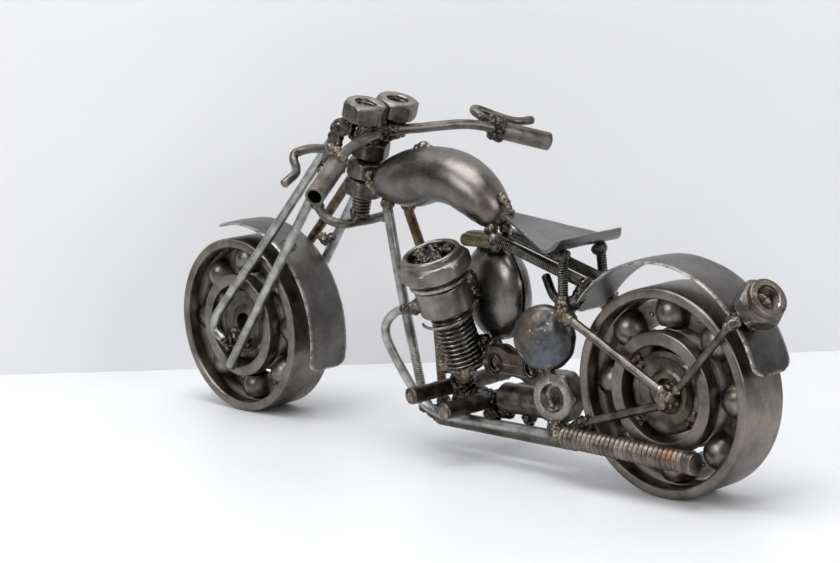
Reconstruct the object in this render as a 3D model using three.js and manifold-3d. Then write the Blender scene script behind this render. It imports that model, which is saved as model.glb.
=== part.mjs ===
// A small motorcycle sculpture welded from hardware: ball bearings for wheels, hex nuts, threaded rod,
// wire, a chain link and strips of sheet steel. The steering turns, and both bearing wheels roll.
//
// Units are millimetres. +X points to the front, +Y to the rider's left and +Z up.
// While it is built, x = 0 and y = 0 lie at the rear axle and z = 0 is the ground. At the end the
// whole group is moved so that its origin is the middle of its bounding box, on the ground.

import * as THREE from "three";
import { mergeVertices } from "three/addons/utils/BufferGeometryUtils.js";
import Module from "manifold-3d";

const wasm = await Module();
wasm.setup();

// ---------------------------------------------------------------- driving dimensions

// Wheels: deep-groove ball bearings, 52 mm across and 15 mm wide
const WHEELBASE = 162;
const WHEEL_RADIUS = 26;
const WHEEL_WIDTH = 15;
const RIM_SIDES = 40;
const OUTER_SHOULDER_RADIUS = 23.2;
const INNER_SHOULDER_RADIUS = 15.3;
const BORE_RADIUS = 11.9;
const BALL_COUNT = 8;
const BALL_RADIUS = 4.6;
const PITCH_RADIUS = (OUTER_SHOULDER_RADIUS + INNER_SHOULDER_RADIUS) / 2;
const RUNNING_GAP = 0.35;
const CAGE_THICKNESS = 1.2;
const CAGE_HALF_WIDTH = 1.6;
const HUB_RADIUS = 10.4;
const HUB_WIDTH = 10;
const HUB_HOLE_RADIUS = 3.3;
const HUB_TAB_WIDTH = 3;

// Gap between pieces that a weld bead joins
const WELD_GAP = 0.3;

// Steering head: hex nuts stacked on a bolt that leans back
const RAKE = THREE.MathUtils.degToRad(16.7);
const HEAD_FOOT = new THREE.Vector3(112.6, 0, 62);
const HEAD_NUT_FLATS = 10;
const HEAD_NUT_HEIGHT = 5;
const HEAD_BOLT_RADIUS = 2.75;
const HEAD_BOLT_LENGTH = 22.2;
const HEAD_BORE_RADIUS = 3.1;

// Fork, handlebar and gauges
const LEG_RADIUS = 1.4;
const LEG_FOOT_Y = 9.7;
const LEG_TOP_Y = 8.8;
const BAR_RADIUS = 1.4;
const GRIP_RADIUS = 2.6;
const GRIP_BORE_RADIUS = 1.85;
const LEVER_RADIUS = 1.2;
const GAUGE_TILT = THREE.MathUtils.degToRad(20);
const GAUGE_NUT_FLATS = 11;
const GAUGE_NUT_HEIGHT = 5.2;
const GAUGE_BORE_RADIUS = 2.9;
const GAUGE_SPREAD = 5.85;
const GAUGE_PLACE = new THREE.Vector3(102.8, 0, 88.9);

// Sheet-steel strips
const FENDER_SHEET = 0.9;
const FRONT_FENDER_HALF_WIDTH = 6.8;
const REAR_FENDER_HALF_WIDTH = 7.2;
const SEAT_SHEET = 1.0;
const SEAT_HALF_WIDTH = 13.2;

// Frame rods
const RAIL_RADIUS = 1.5;
const RAIL_Y = 3.6;
const STAY_RADIUS = 1.15;
const STRUT_RADIUS = 0.95;
const POST_RADIUS = 1.4;
const BRACE_RADIUS = 1.2;
const STAY_Y = 9.4;
const BOTTOM_RAIL_RADIUS = 2.2;
const BOTTOM_RAIL_Z = 7.4;

// Engine: a big hex plug, a plain band and a finned barrel on one axis that leans out to the left
const ENGINE_TOP = new THREE.Vector3(71.4, 13.1, 56.2);
const ENGINE_LEAN = THREE.MathUtils.degToRad(19.6);
const CAP_FLATS = 17.5;
const CAP_BOSS_HEIGHT = 2;
const CAP_HEX_HEIGHT = 4.6;
const CAP_FLANGE_HEIGHT = 2.4;
const CAP_FLANGE_RADIUS = 8.1;
const CAP_TURN = THREE.MathUtils.degToRad(21);
const CAP_BORE_RADIUS = 6.4;
const CAP_BORE_DEPTH = 5;
const BAND_RADIUS = 7.4;
const BAND_HEIGHT = 7.6;
const FIN_RADIUS = 5.5;
const FIN_ROOT_RADIUS = 4.7;
const FIN_PITCH = 1.34;
const FIN_COUNT = 13;
const DOME_RADIUS = 13.2;
const DOME_DEPTH = 6.4;
const DOMES_PLACE = new THREE.Vector3(65.6, -5.6, 43.4);
const DOMES_TURN = THREE.MathUtils.degToRad(-14);
const CLUTCH_COVER_PLACE = new THREE.Vector3(36.9, 7.6, 36);
const CLUTCH_COVER_AXIS = new THREE.Vector3(-0.34, 0.94, 0.06);
const SPROCKET_NUT_FLATS = 12.5;
const SPROCKET_NUT_HEIGHT = 6.5;
const SPROCKET_BORE_RADIUS = 3.4;
const SPROCKET_NUT_PLACE = new THREE.Vector3(34.3, 2.6, 20.9);
const SPROCKET_NUT_TURN = THREE.MathUtils.degToRad(-5);
const HEAD_BAR_SIZE = new THREE.Vector3(13, 3.4, 3.2);
const HEAD_BAR_PLACE = new THREE.Vector3(64.9, -1.9, 58.1);
const INSERT_RADIUS = 1.8;
const CRANKCASE_BAR_RADIUS = 4;

// Chain link: half-inch bicycle chain
const CHAIN_PITCH = 12.7;
const CHAIN_END_RADIUS = 4.5;
const CHAIN_WAIST = 2.2;
const CHAIN_PLATE = 1.1;
const CHAIN_WIDTH = 4.7;
const CHAIN_BUSH_RADIUS = 3.2;
const CHAIN_HOLE_RADIUS = 2.1;
const CHAIN_PLACE = new THREE.Vector3(51.3, 0, 26.4);

// Exhaust and pegs
const HEADER_RADIUS = 1.25;
const HEADER_Y = 8.5;
const MUFFLER_RADIUS = 2.8;
const MUFFLER_Y = 11.3;
const PEG_RADIUS = 2.25;
const PEG_HALF_LENGTH = 18.5;

// Tail light: a nut with a round collar
const TAIL_NUT_FLATS = 11;
const TAIL_NUT_HEIGHT = 4.4;
const TAIL_BORE_RADIUS = 2.9;
const TAIL_COLLAR_RADIUS = 4.9;
const TAIL_COLLAR_TOP = 6.3;
const TAIL_PLACE = new THREE.Vector3(-25, 1.9, 48.6);
const TAIL_AXIS = new THREE.Vector3(-0.82, 0.2, 0.54);

// ---------------------------------------------------------------- materials

function steel(color, roughness, metalness = 0.9) {
  return new THREE.MeshStandardMaterial({ color, roughness, metalness });
}

const burnished = steel(0x4a4744, 0.42);
const darkSteel = steel(0x2f2d2c, 0.5);
const raceFace = steel(0x7a7063, 0.45);
const ballSteel = steel(0x6a6763, 0.25);
const brightRod = steel(0x85837c, 0.38);
const sheetSteel = steel(0x5a5753, 0.4);
const rustyRod = steel(0x5f4a3c, 0.6, 0.8);
const brass = steel(0x8f7a46, 0.5);

// ---------------------------------------------------------------- helpers

const LEFTWARD = new THREE.Vector3(0, 1, 0);
const UP = new THREE.Vector3(0, 0, 1);

function point(x, y, z) {
  return new THREE.Vector3(x, y, z);
}

function mirrored(v) {
  return point(v.x, -v.y, v.z);
}

// A geometry with only positions and with its shared vertices merged, as a closed mesh needs
function welded(geometry) {
  const bare = geometry.clone();
  bare.deleteAttribute("normal");
  bare.deleteAttribute("uv");
  return mergeVertices(bare, 1e-4);
}

function toManifold(geometry) {
  const closed = welded(geometry);
  return new wasm.Manifold(new wasm.Mesh({
    numProp: 3,
    vertProperties: new Float32Array(closed.attributes.position.array),
    triVerts: new Uint32Array(closed.index.array),
  }));
}

function toGeometry(manifold) {
  const mesh = manifold.getMesh();
  const geometry = new THREE.BufferGeometry();
  geometry.setAttribute("position", new THREE.BufferAttribute(mesh.vertProperties, 3));
  geometry.setIndex(new THREE.BufferAttribute(mesh.triVerts, 1));
  return geometry;
}

function joined(...geometries) {
  return toGeometry(geometries.map(toManifold).reduce((sum, next) => sum.add(next)));
}

function cut(geometry, ...tools) {
  const start = toManifold(geometry);
  return toGeometry(tools.map(toManifold).reduce((rest, tool) => rest.subtract(tool), start));
}

function common(first, second) {
  return toGeometry(toManifold(first).intersect(toManifold(second)));
}

function named(name, geometry, material) {
  const closed = welded(geometry);
  closed.computeVertexNormals();
  const mesh = new THREE.Mesh(closed, material);
  mesh.name = name;
  return mesh;
}

// A closed turned shape around +Z. Each profile point is [radius, height], listed from the bottom.
function turned(profile, sides = 24) {
  const points = profile.map(([radius, height]) => new THREE.Vector2(radius, height));
  const lathe = new THREE.LatheGeometry(points, sides);
  return lathe.rotateX(Math.PI / 2);
}

// A cylinder along +Z from z = bottom to z = top
function barrel(radius, bottom, top, sides = 16) {
  const geometry = new THREE.CylinderGeometry(radius, radius, top - bottom, sides);
  return geometry.rotateX(Math.PI / 2).translate(0, 0, (bottom + top) / 2);
}

// A hexagonal prism along +Z with two flats facing +Y and -Y
function hexPrism(flats, bottom, top) {
  return barrel(flats / Math.sqrt(3), bottom, top, 6).rotateZ(Math.PI / 6);
}

// A straight rod from one point to another
function rod(start, end, radius, sides = 10) {
  const geometry = barrel(radius, 0, start.distanceTo(end), sides);
  const turn = new THREE.Quaternion().setFromUnitVectors(UP, end.clone().sub(start).normalize());
  return geometry.applyQuaternion(turn).translate(start.x, start.y, start.z);
}

// A bent rod through the given points
function bentRod(points, radius, steps, sides = 8) {
  const section = new THREE.Shape();
  for (let i = 0; i < sides; i += 1) {
    const angle = (2 * Math.PI * (i + 0.5)) / sides;
    const x = radius * Math.cos(angle);
    const y = radius * Math.sin(angle);
    if (i === 0) section.moveTo(x, y);
    else section.lineTo(x, y);
  }
  section.closePath();
  const extrudePath = new THREE.CatmullRomCurve3(points, false, "centripetal");
  return new THREE.ExtrudeGeometry(section, { steps, extrudePath, bevelEnabled: false });
}

// A flat shape drawn in the x-z plane and given a width along y, from yMin to yMax
function sideExtrusion(shape, yMin, yMax, curveSegments = 16) {
  const geometry = new THREE.ExtrudeGeometry(shape, {
    depth: yMax - yMin,
    bevelEnabled: false,
    curveSegments,
  });
  return geometry.rotateX(Math.PI / 2).translate(0, yMax, 0);
}

// Hex nut along +Z with chamfered corners and a plain bore
function hexNut(flats, height, boreRadius) {
  const corner = flats / Math.sqrt(3);
  const chamfer = turned([
    [0, 0],
    [flats / 2, 0],
    [corner + 0.05, (corner - flats / 2) * 0.6],
    [corner + 0.05, height - (corner - flats / 2) * 0.6],
    [flats / 2, height],
    [0, height],
  ]);
  const body = common(hexPrism(flats, 0, height), chamfer);
  return cut(body, barrel(boreRadius, -1, height + 1, 14));
}

// Turns an object so that its +Z axis points along the given direction
function aim(object, direction) {
  object.quaternion.setFromUnitVectors(UP, direction.clone().normalize());
  return object;
}

// ---------------------------------------------------------------- bearing wheels

// The ball groove of a race: an arc around the pitch circle, a running gap larger than the balls
function grooveArc(side) {
  const radius = BALL_RADIUS + RUNNING_GAP;
  const shoulder = side > 0 ? OUTER_SHOULDER_RADIUS : INNER_SHOULDER_RADIUS;
  const half = Math.acos(Math.abs(shoulder - PITCH_RADIUS) / radius);
  return [-1, -0.5, 0, 0.5, 1].map((part) => [
    PITCH_RADIUS + side * radius * Math.cos(half * part),
    radius * Math.sin(half * part),
  ]);
}

// Outer race: its bottom facet is a true flat at the wheel radius
function outerRace() {
  const rim = WHEEL_RADIUS / Math.cos(Math.PI / RIM_SIDES);
  const half = WHEEL_WIDTH / 2;
  const profile = [
    [OUTER_SHOULDER_RADIUS, -half],
    [rim - 0.8, -half],
    [rim, -half + 0.8],
    [rim, half - 0.8],
    [rim - 0.8, half],
    [OUTER_SHOULDER_RADIUS, half],
    ...grooveArc(1).reverse(),
    [OUTER_SHOULDER_RADIUS, -half],
  ];
  return turned(profile, RIM_SIDES).rotateZ(Math.PI / RIM_SIDES).rotateX(-Math.PI / 2);
}

function innerRace() {
  const half = WHEEL_WIDTH / 2;
  const profile = [
    [BORE_RADIUS, -half],
    [INNER_SHOULDER_RADIUS, -half],
    ...grooveArc(-1),
    [INNER_SHOULDER_RADIUS, half],
    [BORE_RADIUS, half],
    [BORE_RADIUS, -half],
  ];
  return turned(profile, 24).rotateX(-Math.PI / 2);
}

// Balls riveted into one cage ring
function ballCage() {
  const band = turned([
    [PITCH_RADIUS - CAGE_THICKNESS / 2, -CAGE_HALF_WIDTH],
    [PITCH_RADIUS + CAGE_THICKNESS / 2, -CAGE_HALF_WIDTH],
    [PITCH_RADIUS + CAGE_THICKNESS / 2, CAGE_HALF_WIDTH],
    [PITCH_RADIUS - CAGE_THICKNESS / 2, CAGE_HALF_WIDTH],
    [PITCH_RADIUS - CAGE_THICKNESS / 2, -CAGE_HALF_WIDTH],
  ], 24);
  const balls = [];
  for (let i = 0; i < BALL_COUNT; i += 1) {
    const angle = (2 * Math.PI * i) / BALL_COUNT;
    const ball = new THREE.SphereGeometry(BALL_RADIUS, 10, 6);
    balls.push(ball.translate(PITCH_RADIUS * Math.cos(angle), PITCH_RADIUS * Math.sin(angle), 0));
  }
  return joined(band, ...balls).rotateX(-Math.PI / 2);
}

// Plug welded into the bore by four tabs
function hubPlug() {
  const half = HUB_WIDTH / 2;
  const tabReach = BORE_RADIUS - 2 * WELD_GAP;
  const disc = barrel(HUB_RADIUS, -half, half, 20);
  const tabs = [0, 1].map((turn) => {
    const bar = new THREE.BoxGeometry(2 * tabReach, HUB_TAB_WIDTH, HUB_WIDTH);
    return bar.rotateZ(Math.PI / 4 + (turn * Math.PI) / 2);
  });
  const hole = barrel(HUB_HOLE_RADIUS, -half - 1, half + 1, 12);
  return cut(joined(disc, ...tabs), hole).rotateX(-Math.PI / 2);
}

function wheel(name, x) {
  const group = new THREE.Group();
  group.position.set(x, 0, WHEEL_RADIUS);
  group.add(named(`${name}_outer_race`, outerRace(), burnished));
  group.add(named(`${name}_ball_cage`, ballCage(), ballSteel));
  group.add(named(`${name}_inner_race`, innerRace(), raceFace));
  group.add(named(`${name}_hub_plug`, hubPlug(), raceFace));
  return group;
}

// ---------------------------------------------------------------- steering head

// Heights of the nuts' lower faces along the steering bolt
const LOWER_HEAD_NUT_Z = 5.6;
const UPPER_HEAD_NUT_Z = LOWER_HEAD_NUT_Z + HEAD_NUT_HEIGHT + WELD_GAP;
const FORK_NUT_Z = UPPER_HEAD_NUT_Z + HEAD_NUT_HEIGHT + 1;

function headNut(name, z, material) {
  const nut = named(name, hexNut(HEAD_NUT_FLATS, HEAD_NUT_HEIGHT, HEAD_BORE_RADIUS), material);
  nut.position.z = z;
  return nut;
}

function steeringHead() {
  const head = new THREE.Group();
  head.position.copy(HEAD_FOOT);
  head.rotation.y = -RAKE;
  head.add(headNut("head_nut_lower", LOWER_HEAD_NUT_Z, burnished));
  head.add(headNut("head_nut_upper", UPPER_HEAD_NUT_Z, burnished));
  head.add(headNut("fork_nut", FORK_NUT_Z, darkSteel));
  head.add(named("steering_bolt", barrel(HEAD_BOLT_RADIUS, 0, HEAD_BOLT_LENGTH, 16), darkSteel));
  return head;
}

// ---------------------------------------------------------------- fork

function frontLeg() {
  return [
    point(109.6, LEG_TOP_Y, 86.4),
    point(139, LEG_TOP_Y + 0.5, 57),
    point(167, LEG_FOOT_Y, 30),
    point(170, LEG_FOOT_Y, 26.2),
    point(168.8, LEG_FOOT_Y, 23.8),
    point(165.2, LEG_FOOT_Y, 21.6),
  ];
}

const REAR_LEG_TOP = point(116.6, LEG_TOP_Y, 74.7);
const REAR_LEG_FOOT = point(163.5, LEG_FOOT_Y, 14);

function fork() {
  const group = new THREE.Group();
  const leftFront = frontLeg();
  const rightFront = leftFront.map(mirrored);
  const yokeReach = LEG_TOP_Y - LEG_RADIUS - 0.4;
  const lowerYoke = [
    point(121.6, 7.4, 64.2),
    point(119.4, 6.9, 61.2),
    point(115.4, 5, 59.4),
    point(112.6, 0, 59.6),
    point(111.6, -9, 60.2),
  ];
  group.add(named("fork_leg_front_left", bentRod(leftFront, LEG_RADIUS, 18), brightRod));
  group.add(named("fork_leg_front_right", bentRod(rightFront, LEG_RADIUS, 18), rustyRod));
  group.add(named("fork_leg_rear_left", rod(REAR_LEG_FOOT, REAR_LEG_TOP, LEG_RADIUS), brightRod));
  group.add(named(
    "fork_leg_rear_right",
    rod(mirrored(REAR_LEG_FOOT), mirrored(REAR_LEG_TOP), LEG_RADIUS),
    brightRod,
  ));
  group.add(named(
    "upper_yoke",
    rod(point(113.2, -yokeReach, 86.8), point(113.2, yokeReach, 86.8), LEG_RADIUS),
    darkSteel,
  ));
  group.add(named("lower_yoke", bentRod(lowerYoke, 1.3, 14), rustyRod));
  return group;
}

// A strip bent to an arc around (centreX, centreZ), from one angle to another above the x axis
function arcStrip(centreX, centreZ, outerRadius, startDegrees, endDegrees, halfWidth) {
  const start = THREE.MathUtils.degToRad(startDegrees);
  const end = THREE.MathUtils.degToRad(endDegrees);
  const shape = new THREE.Shape();
  shape.absarc(centreX, centreZ, outerRadius, start, end, false);
  shape.absarc(centreX, centreZ, outerRadius - FENDER_SHEET, end, start, true);
  return sideExtrusion(shape, -halfWidth, halfWidth, 18);
}

function frontFender() {
  const strip = arcStrip(WHEELBASE - 1.6, WHEEL_RADIUS - 0.8, 31.9, 73, 198, FRONT_FENDER_HALF_WIDTH);
  return named("front_fender", strip, sheetSteel);
}

// ---------------------------------------------------------------- handlebar

// The bar was bent by hand, so its left end sits a little lower than its right end
const LEFT_GRIP = { inner: point(87.4, 29.3, 80.6), outer: point(80.6, 43.9, 73.8) };
const RIGHT_GRIP = { inner: point(86.6, -30.2, 83.2), outer: point(80.6, -44, 78.6) };

function insideGrip(grip, part) {
  return grip.inner.clone().lerp(grip.outer, part);
}

function handlebar() {
  const path = [
    insideGrip(LEFT_GRIP, 0.3),
    insideGrip(LEFT_GRIP, 0.1),
    point(90, 24.2, 82.7),
    point(98.2, 7, 85),
    point(101.2, 0, 85.6),
    point(97.8, -7, 85.4),
    point(90.4, -22.8, 85.3),
    insideGrip(RIGHT_GRIP, 0.1),
    insideGrip(RIGHT_GRIP, 0.3),
  ];
  return named("handlebar", bentRod(path, BAR_RADIUS, 24), brightRod);
}

function grip(name, ends) {
  const length = ends.inner.distanceTo(ends.outer);
  const tube = cut(barrel(GRIP_RADIUS, 0, length, 18), barrel(GRIP_BORE_RADIUS, -1, length + 1, 14));
  const mesh = named(name, tube, burnished);
  mesh.position.copy(ends.inner);
  return aim(mesh, ends.outer.clone().sub(ends.inner));
}

function leverLeft() {
  const path = [
    point(92.2, 27.4, 83.8),
    point(99.5, 29, 83.6),
    point(102.2, 31.6, 82.3),
    point(99, 33.8, 79.2),
    point(95.6, 37.4, 78),
    point(95.2, 41.6, 76),
  ];
  return named("lever_left", bentRod(path, LEVER_RADIUS, 14, 6), brightRod);
}

function leverRight() {
  const path = [
    point(90.2, -27.2, 87),
    point(93.6, -27.8, 88.4),
    point(95, -30, 88.8),
    point(91.6, -34.6, 86.4),
    point(87.6, -38.6, 84.6),
    point(86.2, -43.6, 84.6),
  ];
  return named("lever_right", bentRod(path, LEVER_RADIUS, 14, 6), brightRod);
}

// Two nuts side by side above the steering head, tilted back towards the rider
function gauges() {
  const group = new THREE.Group();
  group.position.copy(GAUGE_PLACE);
  group.rotation.y = -GAUGE_TILT;
  for (const [name, side] of [["gauge_nut_left", 1], ["gauge_nut_right", -1]]) {
    const shape = hexNut(GAUGE_NUT_FLATS, GAUGE_NUT_HEIGHT, GAUGE_BORE_RADIUS);
    const nut = named(name, shape, burnished);
    nut.position.y = side * GAUGE_SPREAD;
    group.add(nut);
  }
  return group;
}

// ---------------------------------------------------------------- tank and seat

// Centre line of the tank, from its neck at the steering head to its tail, with its height there
const TANK_STATIONS = [
  { x: 102.7, z: 71, half: 0 },
  { x: 102.4, z: 71, half: 3.2 },
  { x: 100.8, z: 71.2, half: 5 },
  { x: 97, z: 72, half: 6.5 },
  { x: 90, z: 73, half: 7.9 },
  { x: 81, z: 74.5, half: 7.5 },
  { x: 73, z: 73.5, half: 7.2 },
  { x: 66.4, z: 70.4, half: 6.7 },
  { x: 62, z: 66.6, half: 5.6 },
  { x: 60.2, z: 63.8, half: 4.2 },
  { x: 59.4, z: 62.2, half: 2.2 },
  { x: 59.2, z: 61.8, half: 0 },
];
const TANK_WIDTH_RATIO = 1.08;

// A round body swept through its stations: a unit turned shape whose rings are moved onto them
function tank() {
  const sides = 16;
  const profile = TANK_STATIONS.map((station, i) => [station.half === 0 ? 0 : 1, i]);
  const body = turned(profile, sides);
  const position = body.attributes.position;
  for (let i = 0; i < position.count; i += 1) {
    const row = Math.round(position.getZ(i));
    const station = TANK_STATIONS[row];
    const before = TANK_STATIONS[Math.max(row - 1, 0)];
    const after = TANK_STATIONS[Math.min(row + 1, TANK_STATIONS.length - 1)];
    const along = point(after.x - before.x, 0, after.z - before.z).normalize();
    const outward = LEFTWARD.clone().cross(along);
    const ring = outward.multiplyScalar(position.getX(i) * station.half);
    position.setXYZ(
      i,
      station.x + ring.x,
      position.getY(i) * station.half * TANK_WIDTH_RATIO,
      station.z + ring.z,
    );
  }
  return named("tank", body, burnished);
}

function fillerCap() {
  const profile = [[0, 0], [2.6, 0], [2.3, 0.8], [1.2, 1.3], [0, 1.4]];
  const cap = named("filler_cap", turned(profile, 14), burnished);
  cap.position.set(85.6, 0, 82);
  return cap;
}

// Seat: one strip, nearly flat, with its rear edge turned up, cut to a rounded triangle
function seat() {
  const side = new THREE.Shape();
  const half = SEAT_SHEET / 2;
  side.moveTo(54.6, 65.2 - half);
  side.lineTo(54.6, 65.2 + half);
  side.lineTo(31.6, 59.4 + half);
  side.quadraticCurveTo(28.6, 59 + half, 27.4, 62.4);
  side.lineTo(26.4, 62.2);
  side.quadraticCurveTo(27.8, 58.6 - half, 31.8, 59.4 - half);
  side.closePath();
  const plan = new THREE.Shape();
  const rear = SEAT_HALF_WIDTH;
  plan.moveTo(56, -1.8);
  plan.lineTo(31, -rear);
  plan.quadraticCurveTo(28.4, -rear - 0.8, 25.8, -rear + 2.4);
  plan.quadraticCurveTo(25.4, 0, 25.8, rear - 2.4);
  plan.quadraticCurveTo(28.4, rear + 0.8, 31, rear);
  plan.lineTo(56, 1.8);
  plan.closePath();
  const strip = sideExtrusion(side, -rear - 2, rear + 2, 6);
  const outline = new THREE.ExtrudeGeometry(plan, { depth: 20, bevelEnabled: false, curveSegments: 6 });
  return named("seat", common(strip, outline.translate(0, 0, 50)), sheetSteel);
}

// ---------------------------------------------------------------- frame rods

function frameRods() {
  const group = new THREE.Group();
  const pairs = [
    ["upper_rail", point(57, RAIL_Y, 59.2), point(25.6, RAIL_Y, 50.1), RAIL_RADIUS, darkSteel],
    ["seat_stay", point(28.6, STAY_Y, 43.3), point(-2.6, STAY_Y, 27.4), STAY_RADIUS, brightRod],
    ["chain_stay", point(21.4, STAY_Y, 16.5), point(-2.8, STAY_Y, 24.2), STAY_RADIUS, brightRod],
    ["fender_strut", point(-7.2, STAY_Y, 28.2), point(-22.6, STAY_Y - 0.5, 45.2), STRUT_RADIUS, brightRod],
  ];
  for (const [name, start, end, radius, material] of pairs) {
    group.add(named(`${name}_left`, rod(start, end, radius), material));
    group.add(named(`${name}_right`, rod(mirrored(start), mirrored(end), radius), material));
  }
  const downLeft = [point(98.6, 2.4, 64.9), point(94.2, 2.8, 43), point(86.4, 3.4, 11)];
  const downRight = [
    point(97.6, -4.4, 63.4),
    point(94.6, -6.6, 50),
    point(91.4, -6.8, 37),
    point(86.4, -3.6, 11),
  ];
  group.add(named("down_tube_left", bentRod(downLeft, LEG_RADIUS, 10), brightRod));
  group.add(named("down_tube_right", bentRod(downRight, LEG_RADIUS, 12), rustyRod));
  group.add(named(
    "bottom_rail",
    rod(point(84, 0, BOTTOM_RAIL_Z), point(33.6, 0, BOTTOM_RAIL_Z), BOTTOM_RAIL_RADIUS, 14),
    darkSteel,
  ));
  const leftPost = rod(point(30.6, 7, 45.8), point(30.2, 6.8, 57.6), POST_RADIUS);
  const rightPost = rod(point(29.2, -6.9, 50.4), point(29.8, -6.9, 57.6), POST_RADIUS);
  group.add(named("seat_post_left", leftPost, darkSteel));
  group.add(named("seat_post_right", rightPost, darkSteel));
  const brace = [
    point(39.4, 3.6, 51.2),
    point(37.8, 4.2, 49.2),
    point(35.6, 5.2, 46.9),
    point(33.2, 6, 45.8),
  ];
  group.add(named("seat_brace", bentRod(brace, BRACE_RADIUS, 8), darkSteel));
  return group;
}

function rearFender() {
  const strip = arcStrip(1.6, WHEEL_RADIUS + 1.3, 31.3, 31, 169, REAR_FENDER_HALF_WIDTH);
  return named("rear_fender", strip, sheetSteel);
}

// Tail light: a nut with a round collar, standing on the rear fender and aimed back, up and left
function tailNut() {
  const hex = hexNut(TAIL_NUT_FLATS, TAIL_NUT_HEIGHT, TAIL_BORE_RADIUS);
  const ring = barrel(TAIL_COLLAR_RADIUS, TAIL_NUT_HEIGHT - 0.2, TAIL_COLLAR_TOP, 20);
  const bore = barrel(TAIL_BORE_RADIUS, TAIL_NUT_HEIGHT / 2, TAIL_COLLAR_TOP + 1, 18);
  const mesh = named("tail_light_nut", joined(hex, cut(ring, bore)), burnished);
  mesh.position.copy(TAIL_PLACE);
  return aim(mesh, TAIL_AXIS);
}

// ---------------------------------------------------------------- engine

// Hex plug with a round boss above its hexagon, a round flange below and a deep socket
function cylinderCap() {
  const hexTop = -CAP_BOSS_HEIGHT;
  const hexBottom = hexTop - CAP_HEX_HEIGHT;
  const bottom = hexBottom - CAP_FLANGE_HEIGHT;
  const corner = CAP_FLATS / Math.sqrt(3);
  const round = turned([
    [0, bottom],
    [CAP_FLANGE_RADIUS, bottom],
    [CAP_FLANGE_RADIUS, hexBottom + 0.1],
    [CAP_FLATS / 2 - 0.3, hexBottom + 0.1],
    [CAP_FLATS / 2 - 0.3, hexTop + 0.6],
    [7.9, 0],
    [0, 0],
  ]);
  const chamfer = turned([
    [0, hexBottom],
    [CAP_FLATS / 2, hexBottom],
    [corner + 0.1, hexBottom + 1],
    [corner + 0.1, hexTop - 0.9],
    [CAP_FLATS / 2 - 0.6, hexTop + 0.8],
    [0, hexTop + 0.8],
  ]);
  const prism = hexPrism(CAP_FLATS, hexBottom, hexTop + 0.8).rotateZ(CAP_TURN + Math.PI / 6);
  const bore = barrel(CAP_BORE_RADIUS, -CAP_BORE_DEPTH, 1, 20);
  return cut(joined(round, common(prism, chamfer)), bore);
}

// Barrel with round cooling fins
function cylinderFins(top) {
  const profile = [[0, top]];
  for (let i = 0; i < FIN_COUNT; i += 1) {
    const z = top - i * FIN_PITCH;
    profile.push([FIN_ROOT_RADIUS, z], [FIN_RADIUS, z - 0.4], [FIN_RADIUS, z - 0.9]);
  }
  profile.push([0, top - FIN_COUNT * FIN_PITCH]);
  return turned(profile.reverse(), 14);
}

function cylinder() {
  const group = new THREE.Group();
  group.position.copy(ENGINE_TOP);
  group.rotation.x = -ENGINE_LEAN;
  const bandTop = -CAP_BOSS_HEIGHT - CAP_HEX_HEIGHT - CAP_FLANGE_HEIGHT - WELD_GAP;
  const bandBottom = bandTop - BAND_HEIGHT;
  group.add(named("cylinder_cap", cylinderCap(), burnished));
  group.add(named("cylinder_band", barrel(BAND_RADIUS, bandBottom, bandTop, 24), burnished));
  group.add(named("cylinder_fins", cylinderFins(bandBottom - WELD_GAP), burnished));
  return group;
}

// Two domed shells welded rim to rim, standing behind the cylinder
function domes() {
  const group = new THREE.Group();
  group.position.copy(DOMES_PLACE);
  group.rotation.z = DOMES_TURN;
  const profile = [[0, 0], [DOME_RADIUS, 0]];
  for (const degrees of [15, 30, 45, 60, 75]) {
    const angle = THREE.MathUtils.degToRad(degrees);
    profile.push([DOME_RADIUS * Math.cos(angle), DOME_DEPTH * Math.sin(angle)]);
  }
  profile.push([0, DOME_DEPTH]);
  for (const [name, side] of [["dome_left", 1], ["dome_right", -1]]) {
    const dome = named(name, turned(profile, 20), burnished);
    dome.position.y = (side * WELD_GAP) / 2;
    group.add(aim(dome, point(0, side, 0)));
  }
  return group;
}

// Small domed cover beside the rear wheel
function clutchCover() {
  const profile = [
    [0, -0.9],
    [8.3, -0.9],
    [8.6, -0.4],
    [8.2, 0.6],
    [6.6, 1.7],
    [4.2, 2.6],
    [1.8, 3],
    [0, 3.1],
  ];
  const cover = named("clutch_cover", turned(profile, 18), burnished);
  cover.position.copy(CLUTCH_COVER_PLACE);
  return aim(cover, CLUTCH_COVER_AXIS);
}

function sprocketNut() {
  const shape = hexNut(SPROCKET_NUT_FLATS, SPROCKET_NUT_HEIGHT, SPROCKET_BORE_RADIUS);
  const nut = named("sprocket_nut", shape, burnished);
  nut.position.copy(SPROCKET_NUT_PLACE);
  nut.rotation.set(-Math.PI / 2, SPROCKET_NUT_TURN, 0);
  return nut;
}

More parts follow.
